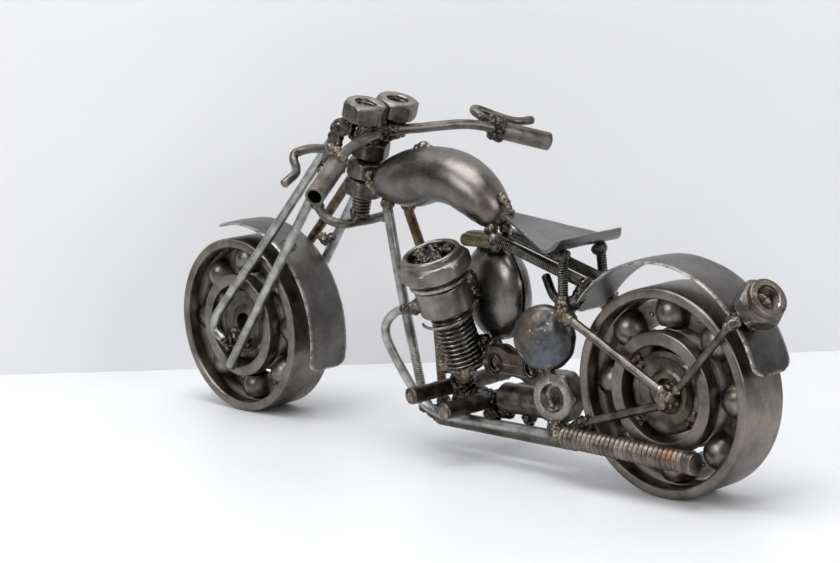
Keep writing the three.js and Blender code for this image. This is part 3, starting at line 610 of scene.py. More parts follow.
FINISH = {
    "race": steel("bearing_steel", "race_steel", (0.47, 0.425, 0.375), (0.30, 0.265, 0.23), 0.30, 140,
                  edge=(0.74, 0.70, 0.64), bump=0.06),
    "ball": steel("ball_steel", "ball_steel", (0.58, 0.56, 0.53), (0.40, 0.38, 0.35), 0.12, 220,
                  bump=0.02, edge_amount=0.0),
    "cage": steel("ball_steel", "cage_steel", (0.46, 0.43, 0.38), (0.24, 0.21, 0.18), 0.30, 260,
                  bump=0.12),
    "hub": steel("hub_steel", "hub_steel", (0.36, 0.32, 0.27), (0.17, 0.145, 0.12), 0.34, 260,
                 bump=0.2),
    "nut": steel("satin_nut", "nut_steel", (0.36, 0.335, 0.305), (0.17, 0.155, 0.14), 0.33, 320,
                 edge=(0.80, 0.75, 0.68), edge_amount=0.9, bump=0.22),
    "nut_dark": steel("satin_nut", "nut_dark_steel", (0.22, 0.20, 0.18), (0.09, 0.08, 0.07), 0.30, 320,
                      edge=(0.62, 0.57, 0.51), edge_amount=0.9, bump=0.25),
    "nut_big": steel("satin_nut", "nut_tan_steel", (0.40, 0.36, 0.30), (0.20, 0.17, 0.14), 0.32, 300,
                     edge=(0.86, 0.80, 0.70), edge_amount=1.0, bump=0.2),
    "nut_tail": steel("satin_nut", "nut_tail_steel", (0.30, 0.275, 0.25), (0.12, 0.105, 0.09), 0.36, 300,
                      edge=(0.80, 0.74, 0.66), edge_amount=0.9, bump=0.25,
                      tints=[(TAIL + Vector((-2.5, 1.5, 2.0)) * MM, 6 * MM, (0.33, 0.17, 0.09))]),
    "thread": steel("dark_thread", "thread_steel", (0.15, 0.14, 0.125), (0.045, 0.04, 0.036), 0.30, 300,
                    edge=(0.70, 0.66, 0.58), edge_amount=0.8, bump=0.2),
    "chain": steel("dark_thread", "chain_steel", (0.23, 0.19, 0.155), (0.085, 0.065, 0.05), 0.36, 260,
                   edge=(0.55, 0.50, 0.43), edge_amount=0.8, bump=0.2),
    "zinc": steel("zinc_rod", "zinc_steel", (0.86, 0.87, 0.83), (0.50, 0.50, 0.46), 0.32, 240,
                  edge=(0.78, 0.78, 0.74), edge_amount=0.4, bump=0.14),
    "rusty": steel("rusty_rod", "rusty_steel", (0.40, 0.31, 0.20), (0.17, 0.11, 0.065), 0.36, 380,
                   edge=(0.66, 0.57, 0.42), edge_amount=0.5, bump=0.3),
    "rod": steel("dark_rod", "rod_steel", (0.34, 0.315, 0.285), (0.17, 0.15, 0.13), 0.30, 240,
                 edge=(0.66, 0.62, 0.56), edge_amount=0.5, bump=0.16),
    "sheet": steel("sheet_steel", "fender_steel", (0.34, 0.325, 0.31), (0.20, 0.188, 0.178), 0.33, 75,
                   edge=(0.80, 0.77, 0.72), edge_amount=1.0, bump=0.07),
    "seat": steel("sheet_steel", "seat_steel", (0.46, 0.455, 0.445), (0.33, 0.325, 0.315), 0.34, 90,
                  edge=(0.86, 0.83, 0.78), edge_amount=1.0, bump=0.06),
    "grip": steel("grip_steel", "grip_steel", (0.38, 0.35, 0.315), (0.22, 0.20, 0.175), 0.33, 240,
                  edge=(0.72, 0.66, 0.58), edge_amount=0.7, bump=0.16),
    "peg": steel("grip_steel", "peg_steel", (0.22, 0.195, 0.17), (0.08, 0.068, 0.058), 0.32, 300,
                 edge=(0.60, 0.50, 0.42), edge_amount=0.8, bump=0.25),
    "peg_end": steel("grip_steel", "peg_end_copper", (0.50, 0.37, 0.30), (0.33, 0.23, 0.18), 0.38, 500,
                     bump=0.2),
    "tank": steel("burnished_tank", "tank_steel", (0.36, 0.335, 0.31), (0.22, 0.20, 0.182), 0.27, 95,
                  edge_amount=0.0, bump=0.05,
                  tints=[(Vector((TANK_HIGH.x, 0, TANK.z)), 13 * MM, (0.34, 0.255, 0.17)),
                         (Vector((TANK_LOW.x, 0, TANK_LOW.z)), 14 * MM, (0.30, 0.24, 0.20))]),
    "engine": steel("engine_steel", "engine_steel", (0.47, 0.435, 0.40), (0.29, 0.262, 0.235), 0.30, 150,
                    edge=(0.84, 0.80, 0.74), edge_amount=0.9, bump=0.08),
    "dome": steel("engine_steel", "dome_steel", (0.40, 0.38, 0.355), (0.24, 0.222, 0.205), 0.24, 90,
                  edge_amount=0.0, bump=0.04,
                  tints=[(middle("dome_left") + Vector((6, 6, 3)) * MM, 9 * MM, (0.50, 0.40, 0.33))]),
    "fins": steel("engine_steel", "fin_steel", (0.36, 0.34, 0.32), (0.17, 0.155, 0.14), 0.26, 300,
                  edge=(0.80, 0.78, 0.74), edge_amount=0.9, bump=0.14),
    "clutch": steel("engine_steel", "clutch_steel", (0.27, 0.265, 0.26), (0.13, 0.13, 0.13), 0.34, 210,
                    edge=(0.70, 0.66, 0.60), edge_amount=0.6, bump=0.18,
                    tints=[(CLUTCH + Vector((5, 2, 4)) * MM, 7.5 * MM, (0.36, 0.25, 0.17)),
                           (CLUTCH + Vector((-3, 3, -5)) * MM, 7 * MM, (0.23, 0.27, 0.33))]),
    "brass": steel("brass_insert", "knurled_brass", (0.50, 0.42, 0.26), (0.22, 0.17, 0.09), 0.36, 900,
                   edge=(0.66, 0.57, 0.36), edge_amount=0.8, bump=0.4),
    "muffler": steel("muffler_steel", "muffler_steel", (0.42, 0.36, 0.31), (0.20, 0.155, 0.125), 0.36, 260,
                     edge=(0.82, 0.76, 0.68), edge_amount=0.9, bump=0.22,
                     tints=[(MUFFLER_END + Vector((7.5, 1.5, 2)) * MM, 3.6 * MM, (0.36, 0.15, 0.075))]),
    "weld": steel("dark_thread", "weld_steel", (0.36, 0.33, 0.295), (0.11, 0.095, 0.08), 0.24, 420,
                  edge=(0.86, 0.82, 0.75), edge_amount=0.7, bump=0.45),
    "weld_dark": steel("dark_thread", "weld_dark_steel", (0.20, 0.18, 0.16), (0.05, 0.042, 0.036), 0.24, 420,
                       edge=(0.75, 0.70, 0.63), edge_amount=0.6, bump=0.5),
    "weld_tan": steel("dark_thread", "weld_tan_steel", (0.42, 0.36, 0.28), (0.17, 0.13, 0.095), 0.30, 420,
                      edge=(0.86, 0.80, 0.70), edge_amount=0.7, bump=0.5),
}


# ---------------------------------------------------------------- bearing wheels


def race(name, node, finish_name, body, inner):
    """A bearing race, turned about its own axis with its edges broken."""
    low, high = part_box(node)
    matrix = axes_from(LEFT, FORWARD, (low + high) / 2)
    half = (high.y - low.y) / 2
    reach = (high.x - low.x) / 2
    solid = welded_solid(node)
    inside = min(math.hypot(v.co.x - matrix.translation.x, v.co.z - matrix.translation.z)
                 for v in solid.verts)
    groove = [v for v in solid.verts if abs(v.co.y - matrix.translation.y) < 0.1 * MM]
    reaches = [math.hypot(v.co.x - matrix.translation.x, v.co.z - matrix.translation.z)
               for v in groove]
    solid.free()
    outer = min(reach, (high.z - low.z) / 2)
    valley = min(reaches) if inner else min(r for r in reaches if r > inside)
    wall = outer if inner else inside
    pitch = valley + BALL_RADIUS if inner else valley - BALL_RADIUS
    angle = math.acos(min(1.0, abs(wall - pitch) / (BALL_RADIUS * 1.05)))
    side = -1 if inner else 1
    arc = [(pitch + side * BALL_RADIUS * 1.05 * math.cos(angle * t),
            BALL_RADIUS * 1.05 * math.sin(angle * t)) for t in (-1, -0.66, -0.33, 0, 0.33, 0.66, 1)]
    if inner:
        profile = [(inside, 0), (inside, half), (outer, half), *reversed(arc), (outer, -half),
                   (inside, -half), (inside, -0.01 * MM)]
    else:
        lip = 0.45 * MM
        profile = [(outer, 0), (outer, -half), (inside + lip, -half), (inside, lip * 1.4 - half), *arc,
                   (inside, half - lip * 1.4), (inside + lip, half), (outer, half), (outer, 0.01 * MM)]
    edge = 0.5 * MM if inner else 0.95 * MM
    obj = lathe(name, filleted(profile, edge), matrix, 128, True)
    return piece(obj, body, FINISH[finish_name], node)


def cage(name, node, body):
    """Two pressed ribbons riveted round the balls."""
    centre = middle(node)
    low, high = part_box(node)
    pitch = (high.x - low.x) / 2 - BALL_RADIUS
    solid = welded_solid(node)
    solid.free()
    matrix = axes_from(LEFT, FORWARD, centre)
    pocket = BALL_RADIUS + CAGE_POCKET_GAP
    columns = BALL_COUNT * 28
    for half, side in (("left", 1), ("right", -1)):
        rows = []
        for i in range(6):
            rows.append((pitch - CAGE_HALF_RIBBON + 2 * CAGE_HALF_RIBBON * i / 5, CAGE_SHEET))
        rows += [(r, 0.02 * MM) for r, _ in reversed(rows)]
        verts = []
        for r, lift in rows:
            for j in range(columns):
                angle = 2 * math.pi * j / columns
                nearest = round(angle / (2 * math.pi / BALL_COUNT)) * 2 * math.pi / BALL_COUNT
                gap = r * r + pitch * pitch - 2 * r * pitch * math.cos(angle - nearest)
                bulge = math.sqrt(max(pocket ** 2 - gap, 0.0))
                verts.append(Vector((r * math.cos(angle), r * math.sin(angle), side * (bulge + lift))))
        ribbon = surface_object(f"{name}_ribbon_{half}", verts, grid_faces(len(rows), columns, True), matrix)
        piece(ribbon, body, FINISH["cage"])
    balls = bmesh.new()
    rivets = bmesh.new()
    for i in range(BALL_COUNT):
        turn = Matrix.Rotation(2 * math.pi * i / BALL_COUNT, 4, "Z")
        seat = matrix @ turn @ Matrix.Translation((pitch, 0, 0))
        bmesh.ops.create_uvsphere(balls, u_segments=32, v_segments=20, radius=BALL_RADIUS, matrix=seat)
        half_turn = Matrix.Rotation(math.pi / BALL_COUNT, 4, "Z")
        for side in (1, -1):
            head = Matrix.Translation((pitch, 0, side * CAGE_SHEET))
            squash = Matrix.Diagonal((1, 1, 0.55, 1))
            bmesh.ops.create_uvsphere(rivets, u_segments=16, v_segments=10, radius=RIVET_RADIUS,
                                      matrix=matrix @ turn @ half_turn @ head @ squash)
    for shape, label, finish in ((balls, "balls", "ball"), (rivets, "rivets", "cage")):
        mesh = bpy.data.meshes.new(f"{name}_{label}")
        shape.to_mesh(mesh)
        shape.free()
        mesh.polygons.foreach_set("use_smooth", [True] * len(mesh.polygons))
        obj = bpy.data.objects.new(f"{name}_{label}", mesh)
        SCENE.collection.objects.link(obj)
        if label == "balls":
            piece(obj, body, FINISH[finish], node)
        else:
            piece(obj, body, FINISH[finish])


def hub(name, node, body):
    """A dished plug in the bore, held by four welds."""
    low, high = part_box(node)
    matrix = axes_from(LEFT, FORWARD, (low + high) / 2)
    half = (high.y - low.y) / 2
    bore = 11.9 * MM
    disc = 10.4 * MM
    hole = 3.3 * MM
    side = [(disc, 0), (disc, half), (disc - 1.6 * MM, half), (disc - 2.2 * MM, half - 0.5 * MM),
            (hole + 2.4 * MM, half - 0.9 * MM), (hole + 1.6 * MM, half - 0.3 * MM), (hole, half - 0.3 * MM)]
    profile = [*side, *[(r, -z) for r, z in reversed(side)]]
    plug = lathe(f"{name}_plug", filleted([*profile, (disc, -0.01 * MM)], 0.4 * MM, 3), matrix, 72, True)
    roughen(plug, 0.12 * MM, 2.4 * MM, 3)
    piece(plug, body, FINISH["hub"], node)
    for i in range(4):
        angle = math.pi / 4 + math.pi / 2 * i + (0.18 if i % 2 else -0.1)
        for label, face in (("left", 1), ("right", -1)):
            spots = []
            for part in (-1, 0, 1):
                spread = angle + part * 0.13
                for r in (disc - 0.6 * MM, bore + 0.1 * MM):
                    place = Vector((r * math.cos(spread), r * math.sin(spread), face * (half - 0.2 * MM)))
                    spots.append((matrix @ place, (1.25 - 0.12 * abs(part)) * MM))
            bead = lump(f"{name}_bridge_{label}_{i}", spots, ripple=0.3 * MM, seed=i + 5)
            piece(bead, body, FINISH["weld_tan" if i % 2 else "weld"])


def wheel(end, fixed_body):
    race(f"{end}_tread_race", f"{end}_outer_race", "race", f"{end}_wheel", False)
    race(f"{end}_bore_race", f"{end}_inner_race", "race", fixed_body, True)
    cage(f"{end}_cage", f"{end}_ball_cage", f"{end}_cage")
    hub(f"{end}_hub", f"{end}_hub_plug", fixed_body)


# ---------------------------------------------------------------- rods


def rod_piece(node, body, finish, thread=None, span=(0.0, 1.0), sides=20, wobble=0.05):
    """A rod along the line of its solid, plain or threaded over a span of its length."""
    line, radius = spine(node)
    step = 0.8 * MM
    shape = plain_rod(radius)
    if thread is not None:
        step = thread[0] / 6
        shape = threaded_rod(radius, thread, *span)
    obj = sweep(f"{node}_rod", line, shape, step, sides)
    if thread is None:
        roughen(obj, wobble * MM, 4 * MM, len(node))
    return piece(obj, body, FINISH[finish], node)


def rods():
    for side in ("left", "right"):
        rod_piece(f"upper_rail_{side}", "frame", "thread", RAIL_THREAD)
        rod_piece(f"seat_stay_{side}", "frame", "rod", wobble=0.1)
        rod_piece(f"chain_stay_{side}", "frame", "rod", wobble=0.1)
        rod_piece(f"fender_strut_{side}", "frame", "rod", wobble=0.08)
        rod_piece(f"seat_post_{side}", "frame", "thread", RAIL_THREAD)
        rod_piece(f"fork_leg_rear_{side}", "fork", "zinc")
        rod_piece(f"lever_{side}", "fork", "grip", wobble=0.12)
    rod_piece("fork_leg_front_left", "fork", "zinc")
    rod_piece("fork_leg_front_right", "fork", "rusty")
    rod_piece("upper_yoke", "fork", "rod")
    rod_piece("lower_yoke", "fork", "rod", wobble=0.12)
    rod_piece("handlebar", "fork", "grip")
    rod_piece("down_tube_left", "frame", "zinc", RAIL_THREAD, thread_span("down_tube_left", DOWN, 0.3))
    rod_piece("down_tube_right", "frame", "rusty", RAIL_THREAD, thread_span("down_tube_right", DOWN, 0.4))
    rod_piece("bottom_rail", "frame", "rod", sides=28)
    rod_piece("seat_brace", "frame", "thread")
    rod_piece("exhaust_header", "frame", "zinc")
    rod_piece("crankcase_bar", "frame", "nut_big", sides=40, wobble=0.12)
    rod_piece("muffler", "frame", "muffler", MUFFLER_THREAD, thread_span("muffler", FORWARD, 0.955), 32)
    rod_piece("steering_bolt", "fork", "thread", NUT_THREAD, thread_span("steering_bolt", DOWN, 0.4), 24)


def thread_span(node, towards, part):
    """The part of a rod's length that is threaded, counted from the end that lies towards a direction."""
    line, _ = spine(node)
    if line[0].dot(towards) > line[-1].dot(towards):
        return 0.0, part
    return 1.0 - part, 1.0


def muffler_ring():
    """The bright turned-over rim at the muffler's open end."""
    tip = end_of("muffler", BACK)
    other = end_of("muffler", FORWARD)
    _, radius = spine("muffler")
    matrix = axes_from(tip - other, UP, tip - (tip - other).normalized() * 1.1 * MM)
    profile = [(radius * 0.5, 0.2 * MM), (radius * 0.55, 1.0 * MM), (radius * 0.8, 1.1 * MM),
               (radius * 0.99, 0.8 * MM), (radius * 0.99, 0), (radius * 0.5, 0)]
    obj = lathe("muffler_rim", filleted([*profile, profile[0]], 0.2 * MM), matrix, 40, True)
    piece(obj, "frame", FINISH["engine"])


def pegs():
    """Foot pegs: plain roughened rods for the threaded stubs right through the frame, with cut
    copper-coloured ends.
    """
    for node in ("foot_peg_front", "foot_peg_rear"):
        line, radius = spine(node)
        obj = sweep(f"{node}_rod", line, plain_rod(radius), 0.8 * MM, 28)
        roughen(obj, 0.16 * MM, 2.2 * MM, 2)
        piece(obj, "frame", FINISH["peg"], node)
        for label, tip, other in (("a", line[0], line[-1]), ("b", line[-1], line[0])):
            out = (tip - other).normalized()
            matrix = axes_from(out, UP, tip - out * 0.25 * MM)
            profile = [(0, 0.27 * MM), (radius * 0.55, 0.27 * MM), (radius * 0.86, 0.24 * MM),
                       (radius * 0.93, 0.1 * MM), (radius * 0.9, -0.1 * MM), (0, -0.1 * MM)]
            cap = lathe(f"{node}_face_{label}", profile, matrix, 28)
            piece(cap, "frame", FINISH["peg_end"])


def grips():
    for side in ("left", "right"):
        node = f"grip_{side}"
        solid = welded_solid(node)
        ends = [flat for flat in flats_of(solid) if len(flat["points"]) > 20][:2]
        points = [v.co.copy() for v in solid.verts]
        solid.free()
        near, far = sorted(ends, key=lambda flat: abs(flat["centre"].y))
        axis = far["centre"] - near["centre"]
        length = axis.length
        matrix = axes_from(axis, UP, near["centre"])
        inverse = matrix.inverted()
        reaches = [math.hypot(*(inverse @ p).xy) for p in points]
        outer, inner = max(reaches), min(reaches)
        profile = [(outer, length / 2), (outer, 0), (inner, 0), (inner, length), (outer, length),
                   (outer, length / 2 + 0.1 * MM)]
        tube = lathe(f"{node}_tube", filleted(profile, 0.35 * MM), matrix, 48, True)
        roughen(tube, 0.1 * MM, 3 * MM, 4)
        piece(tube, "fork", FINISH["grip"], node)


# ---------------------------------------------------------------- sheet pieces


def arc_of(node):
    """The centre, outer radius, sheet and end angles of a strip bent to an arc about the Y axis."""
    solid = welded_solid(node)
    points = [v.co.copy() for v in solid.verts]
    solid.free()
    centre = (0.0, 0.0)
    chosen = points
    for _ in range(3):
        sums = Matrix.Diagonal((0.0, 0.0, 0.0))
        right = Vector((0, 0, 0))
        for p in chosen:
            row = Vector((p.x / MM, p.z / MM, 1.0))
            for i in range(3):
                for j in range(3):
                    sums[i][j] += row[i] * row[j]
                right[i] += row[i] * (row.x ** 2 + row.y ** 2)
        answer = sums.inverted() @ right
        centre = (answer.x / 2 * MM, answer.y / 2 * MM)
        reach = [math.hypot(p.x - centre[0], p.z - centre[1]) for p in points]
        middle_reach = (max(reach) + min(reach)) / 2
        chosen = [p for p, r in zip(points, reach) if r > middle_reach]
    angles = sorted(math.atan2(p.z - centre[1], p.x - centre[0]) % (2 * math.pi) for p in chosen)
    return centre, max(reach), max(reach) - min(reach), angles[0], angles[-1]


def fender(name, node, body, crown, corner, wave_size):
    """A rolled strip with rounded corners, a slight crown and a few soft dents."""
    centre, outer, sheet, start, end = arc_of(node)
    low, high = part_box(node)
    half = (high.y - low.y) / 2
    along_count = 90
    across_count = 16
    rows = []
    for i in range(along_count + 1):
        arc = outer * (end - start)
        s = arc * i / along_count
        near_end = min(s, arc - s)
        width = half
        if near_end < corner:
            width = half - corner + math.sqrt(corner ** 2 - (corner - near_end) ** 2)
        rows.append((start + s / outer, width))
    verts = []
    for angle, width in rows:
        section = []
        for layer in (0, 1):
            for j in range(across_count + 1):
                part = -1 + 2 * j / across_count
                if layer:
                    part = -part
                edge = 0.0
                if abs(part) > 0.93:
                    edge = (abs(part) - 0.93) / 0.07 * 0.3 * MM
                y = part * width
                bow = crown * (1 - (y / half) ** 2) - crown
                dent = noise.noise(Vector((angle * 3, y / (9 * MM), wave_size))) * 0.25 * MM
                reach = outer + bow - edge + min(dent, 0) if layer == 0 else outer + bow - sheet + edge
                section.append((reach, y))
        for reach, y in section:
            verts.append(Vector((centre[0] + reach * math.cos(angle), (low.y + high.y) / 2 + y,
                                 centre[1] + reach * math.sin(angle))))
    columns = 2 * (across_count + 1)
    faces = grid_faces(len(rows), columns)
    for k in (0, len(rows) - 1):
        for j in range(across_count):
            a = k * columns + j
            b = k * columns + columns - 1 - j
            faces.append((a, a + 1, b - 1, b))
    obj = surface_object(name, verts, faces)
    return piece(obj, body, FINISH["sheet"], node)


def softened(name, node, voxel, rounds):
    """A copy of a solid with its edges worn round."""
    obj = bpy.data.objects.new(name, NODES[node].data.copy())
    SCENE.collection.objects.link(obj)
    shape = bmesh.new()
    shape.from_mesh(obj.data)
    bmesh.ops.remove_doubles(shape, verts=shape.verts, dist=0.001 * MM)
    shape.to_mesh(obj.data)
    shape.free()
    remesh = obj.modifiers.new("melt", "REMESH")
    remesh.mode = "VOXEL"
    remesh.voxel_size = voxel
    soften = obj.modifiers.new("soften", "SMOOTH")
    soften.iterations = rounds
    baked(obj)
    obj.data.polygons.foreach_set("use_smooth", [True] * len(obj.data.polygons))
    return obj


def seat():
    obj = softened("seat_sheet", "seat", 0.22 * MM, 5)
    roughen(obj, 0.1 * MM, 9 * MM, 6)
    piece(obj, "frame", FINISH["seat"], "seat")


# ---------------------------------------------------------------- tank


def tank():
    """A round body through the rings of its solid, drawn out smooth."""
    found = rings("tank", lambda verts: max(verts, key=lambda v: (len(v.link_edges), v.co.x)))
    stations = []
    for centre, points in found:
        half_width = max(abs(p.y - centre.y) for p in points)
        along = max(points, key=lambda p: p.z) - min(points, key=lambda p: p.z)
        stations.append((centre, half_width, along.normalized(), along.length / 2))
    first = stations[0][0] + (stations[0][0] - stations[1][0]).normalized() * 0.3 * MM
    last = stations[-1][0] + (stations[-1][0] - stations[-2][0]).normalized() * 0.45 * MM
    centres = smooth_line([first, *[s[0] for s in stations], last], 1.2 * MM)
    keys = [0.0]
    knots = [first, *[s[0] for s in stations], last]
    for a, b in zip(knots, knots[1:]):
        keys.append(keys[-1] + (b - a).length)
    widths = [0.0, *[s[1] for s in stations], 0.0]
    heights = [0.0, *[s[3] for s in stations], 0.0]
    total = keys[-1]

    def value(table, s):
        """The table's value at a distance, eased between its knots."""
        for i in range(len(keys) - 1):
            if s <= keys[i + 1] or i == len(keys) - 2:
                span = keys[i + 1] - keys[i]
                t = min(1.0, (s - keys[i]) / span)
                a = table[max(i - 1, 0)]
                b, c = table[i], table[i + 1]
                d = table[min(i + 2, len(table) - 1)]
                if i in (0, len(keys) - 2):
                    rise = math.sqrt(t) if i == 0 else math.sqrt(1 - t)
                    return max(b, c) * rise
                return 0.5 * (2 * b + (c - a) * t + (2 * a - 5 * b + 4 * c - d) * t * t
                              + (3 * b - a - 3 * c + d) * t ** 3)
        return 0.0

    length = sum((b - a).length for a, b in zip(centres, centres[1:]))
    ends = [0.0, 0.004, 0.012, 0.025]
    parts = [*ends, *[0.04 + 0.92 * i / 60 for i in range(61)], *[1 - e for e in reversed(ends)]]
    places = stations_on(centres, [length * p for p in parts])
    sides = 64
    verts = []
    for i, (part, centre) in enumerate(zip(parts, places)):
        ahead = places[min(i + 1, len(places) - 1)]
        behind = places[max(i - 1, 0)]
        along = (ahead - behind).normalized()
        outward = along.cross(LEFT).normalized()
        height = value(heights, part * total)
        width = value(widths, part * total)
        for j in range(sides):
            angle = 2 * math.pi * j / sides
            verts.append(centre + outward * math.cos(angle) * height + LEFT * math.sin(angle) * width)
    obj = surface_object("tank_shell", verts, grid_faces(len(parts), sides))
    roughen(obj, 0.12 * MM, 8 * MM, 9)
    piece(obj, "frame", FINISH["tank"], "tank")
    cap_low, cap_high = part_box("filler_cap")
    base = Vector(((cap_low.x + cap_high.x) / 2, (cap_low.y + cap_high.y) / 2, cap_low.z))
    spots = around(base, (0, 0, -0.4, 1.7), (1.8, 0.5, -0.9, 1.3), (-1.6, -0.4, -0.9, 1.3),
                         (0.2, 0.2, 0.35, 0.95))
    piece(lump("filler_bump", spots, ripple=0.2 * MM), "frame", FINISH["tank"], "filler_cap")


# ---------------------------------------------------------------- engine


def cylinder_parts():
    """The hexagon plug, the band and the threaded barrel, on one leaning axis."""
    base = disc_pose("cylinder_cap")
    solid = welded_solid("cylinder_cap")
    points = [base.inverted() @ v.co for v in solid.verts]
    sides_found = [flat for flat in flats_of(solid)
                   if abs((base.to_3x3().inverted() @ flat["normal"]).z) < 0.01]
    solid.free()
    side_normal = sides_found[0]["normal"]
    base = axes_from(base.to_3x3() @ UP, side_normal, base.translation)
    top = max(p.z for p in points)
    flats_across = 2 * abs((base.inverted() @ sides_found[0]["centre"]).x)
    sides = 144

    def hexagon(angle, factor=1.0):
        return hex_reach(angle, flats_across) * factor

    flange = 8.1 * MM
    hex_low = 2.4 * MM
    hex_high = 7.0 * MM
    slope = 1.5
    rows = [lambda a: (0, 0)]
    for inset, z in ((0.9, 0), (0.3, 0.12), (0, 0.45), (0, 1.2), (0.35, 1.55), (0.8, 1.8), (0.7, 2.05)):
        rows.append(lambda a, inset=inset, z=z: (flange - inset * MM, z * MM))
    rows.append(lambda a: (flange - 0.1 * MM, hex_low))
    for d in (0.0, 0.2, 0.45, 0.8, 1.3):
        rows.append(lambda a, d=d: (min(hexagon(a), flats_across / 2 * 0.985 + slope * d * MM),
                                    hex_low + 0.05 * MM + d * MM))
    for d in (1.7, 1.2, 0.8, 0.45, 0.2, 0.0):
        rows.append(lambda a, d=d: (min(hexagon(a), flats_across / 2 * 0.965 + slope * d * MM),
                                    hex_high - 0.05 * MM - d * MM))
    for r, drop in ((8.25, 1.95), (8.1, 1.7), (8.1, 1.2), (8.0, 0.7), (7.85, 0.4), (7.5, 0.12), (7.1, 0.0),
                    (6.75, 0.1), (6.45, 0.5), (6.4, 1.1), (6.4, 3.6), (6.3, 4.6), (0, 5.0)):
        rows.append(lambda a, r=r, drop=drop: (r * MM, top - drop * MM))
    verts = []
    for row in rows:
        for j in range(sides):
            angle = 2 * math.pi * j / sides
            r, z = row(angle)
            verts.append(Vector((r * math.cos(angle), r * math.sin(angle), z)))
    cap = surface_object("cylinder_plug", verts, grid_faces(len(rows), sides), base)
    roughen(cap, 0.05 * MM, 3 * MM, 2)
    piece(cap, "frame", FINISH["engine"], "cylinder_cap")

    axis = base.to_3x3() @ UP
    spots = []
    for i in range(11):
        angle = 2.4 * i
        reach = (1.2 + 0.42 * i) * MM
        height = top - (1.9 - 1.1 * wave(i / 4.0)) * MM
        spots.append((base @ Vector((reach * math.cos(angle), reach * math.sin(angle), height)),
                      (1.7 + 0.35 * math.cos(3.0 * i)) * MM))
    heap = lump("cylinder_weld_heap", spots, voxel=0.24 * MM, ripple=0.55 * MM, seed=11)
    piece(heap, "frame", FINISH["weld_dark"])

    band_low = extent_along("cylinder_band", axis)
    radius = 7.4 * MM
    bottom = band_low[0] - base.translation.dot(axis)
    height = band_low[1] - band_low[0]
    profile = [(0, bottom), (radius, bottom), (radius, bottom + height), (0, bottom + height)]
    band = lathe("cylinder_sleeve", filleted(profile, 0.5 * MM), base, 96)
    roughen(band, 0.16 * MM, 3.4 * MM, 5)
    piece(band, "frame", FINISH["engine"], "cylinder_band")

    fins = extent_along("cylinder_fins", axis)
    start = base.translation + axis * (fins[0] - base.translation.dot(axis))
    end = base.translation + axis * (fins[1] - base.translation.dot(axis))
    ridges = threaded_rod(5.55 * MM, FIN_THREAD)
    barrel = sweep("cylinder_barrel", [start, end], ridges, FIN_THREAD[0] / 9, 56)
    piece(barrel, "frame", FINISH["fins"], "cylinder_fins")

    ring_centre = end - axis * 2.2 * MM + Vector((0.4, 1.0, 0)) * MM
    ring = []
    for i in range(31):
        angle = math.radians(-150 + 300 * i / 30)
        ring.append(ring_centre + base.to_3x3() @ Vector((math.cos(angle), math.sin(angle), 0)) * 6.7 * MM)
    clip = sweep("cylinder_clip_ring", ring, plain_rod(0.42 * MM), 0.6 * MM, 12, 0.1 * MM)
    piece(clip, "frame", FINISH["engine"])
    return base, axis


def extent_along(node, axis):
    """The lowest and highest reach of a node along an axis."""
    reach = [v.co.dot(axis) for v in NODES[node].data.vertices]
    return min(reach), max(reach)


def turned_shells():
    """The two domes and the small cover, turned from their solids' rims and heights."""
    for node, outward in (("dome_left", LEFT), ("dome_right", RIGHT)):
        pose = disc_pose(node, outward)
        base_low, base_high = extent_along(node, pose.to_3x3() @ UP)
        depth = base_high - base_low
        solid = welded_solid(node)
        inverse = pose.inverted()
        radius = max(math.hypot(*(inverse @ v.co).xy) for v in solid.verts)
        solid.free()
        rim = 0.45 * MM
        profile = [(0, 0), (radius - rim, 0), (radius, 0.3 * MM)]
        for i in range(1, 25):
            angle = math.radians(2 + 88 * i / 24)
            profile.append((radius * math.cos(angle) if i < 24 else 0.0,
                            0.3 * MM + (depth - 0.3 * MM) * math.sin(angle)))
        dome = lathe(f"{node}_shell", profile, pose, 96)
        roughen(dome, 0.14 * MM, 7 * MM, 8)
        piece(dome, "frame", FINISH["dome"], node)
    pose = disc_pose("clutch_cover", LEFT)
    low, high = extent_along("clutch_cover", pose.to_3x3() @ UP)
    solid = welded_solid("clutch_cover")
    radius = max(math.hypot(*(pose.inverted() @ v.co).xy) for v in solid.verts)
    solid.free()
    depth = high - low
    profile = [(0, 0), (radius * 0.95, 0), (radius, depth * 0.13)]
    for i in range(0, 21):
        angle = math.radians(12 + 78 * i / 20)
        profile.append((radius * 1.0 * math.cos(angle) if i < 20 else 0.0,
                        depth * 0.13 + depth * 0.87 * math.sin(angle)))
    cover = lathe("clutch_shell", filleted(profile, 0.3 * MM, 2), pose, 80)
    roughen(cover, 0.2 * MM, 3.2 * MM, 12)
    piece(cover, "frame", FINISH["clutch"], "clutch_cover")


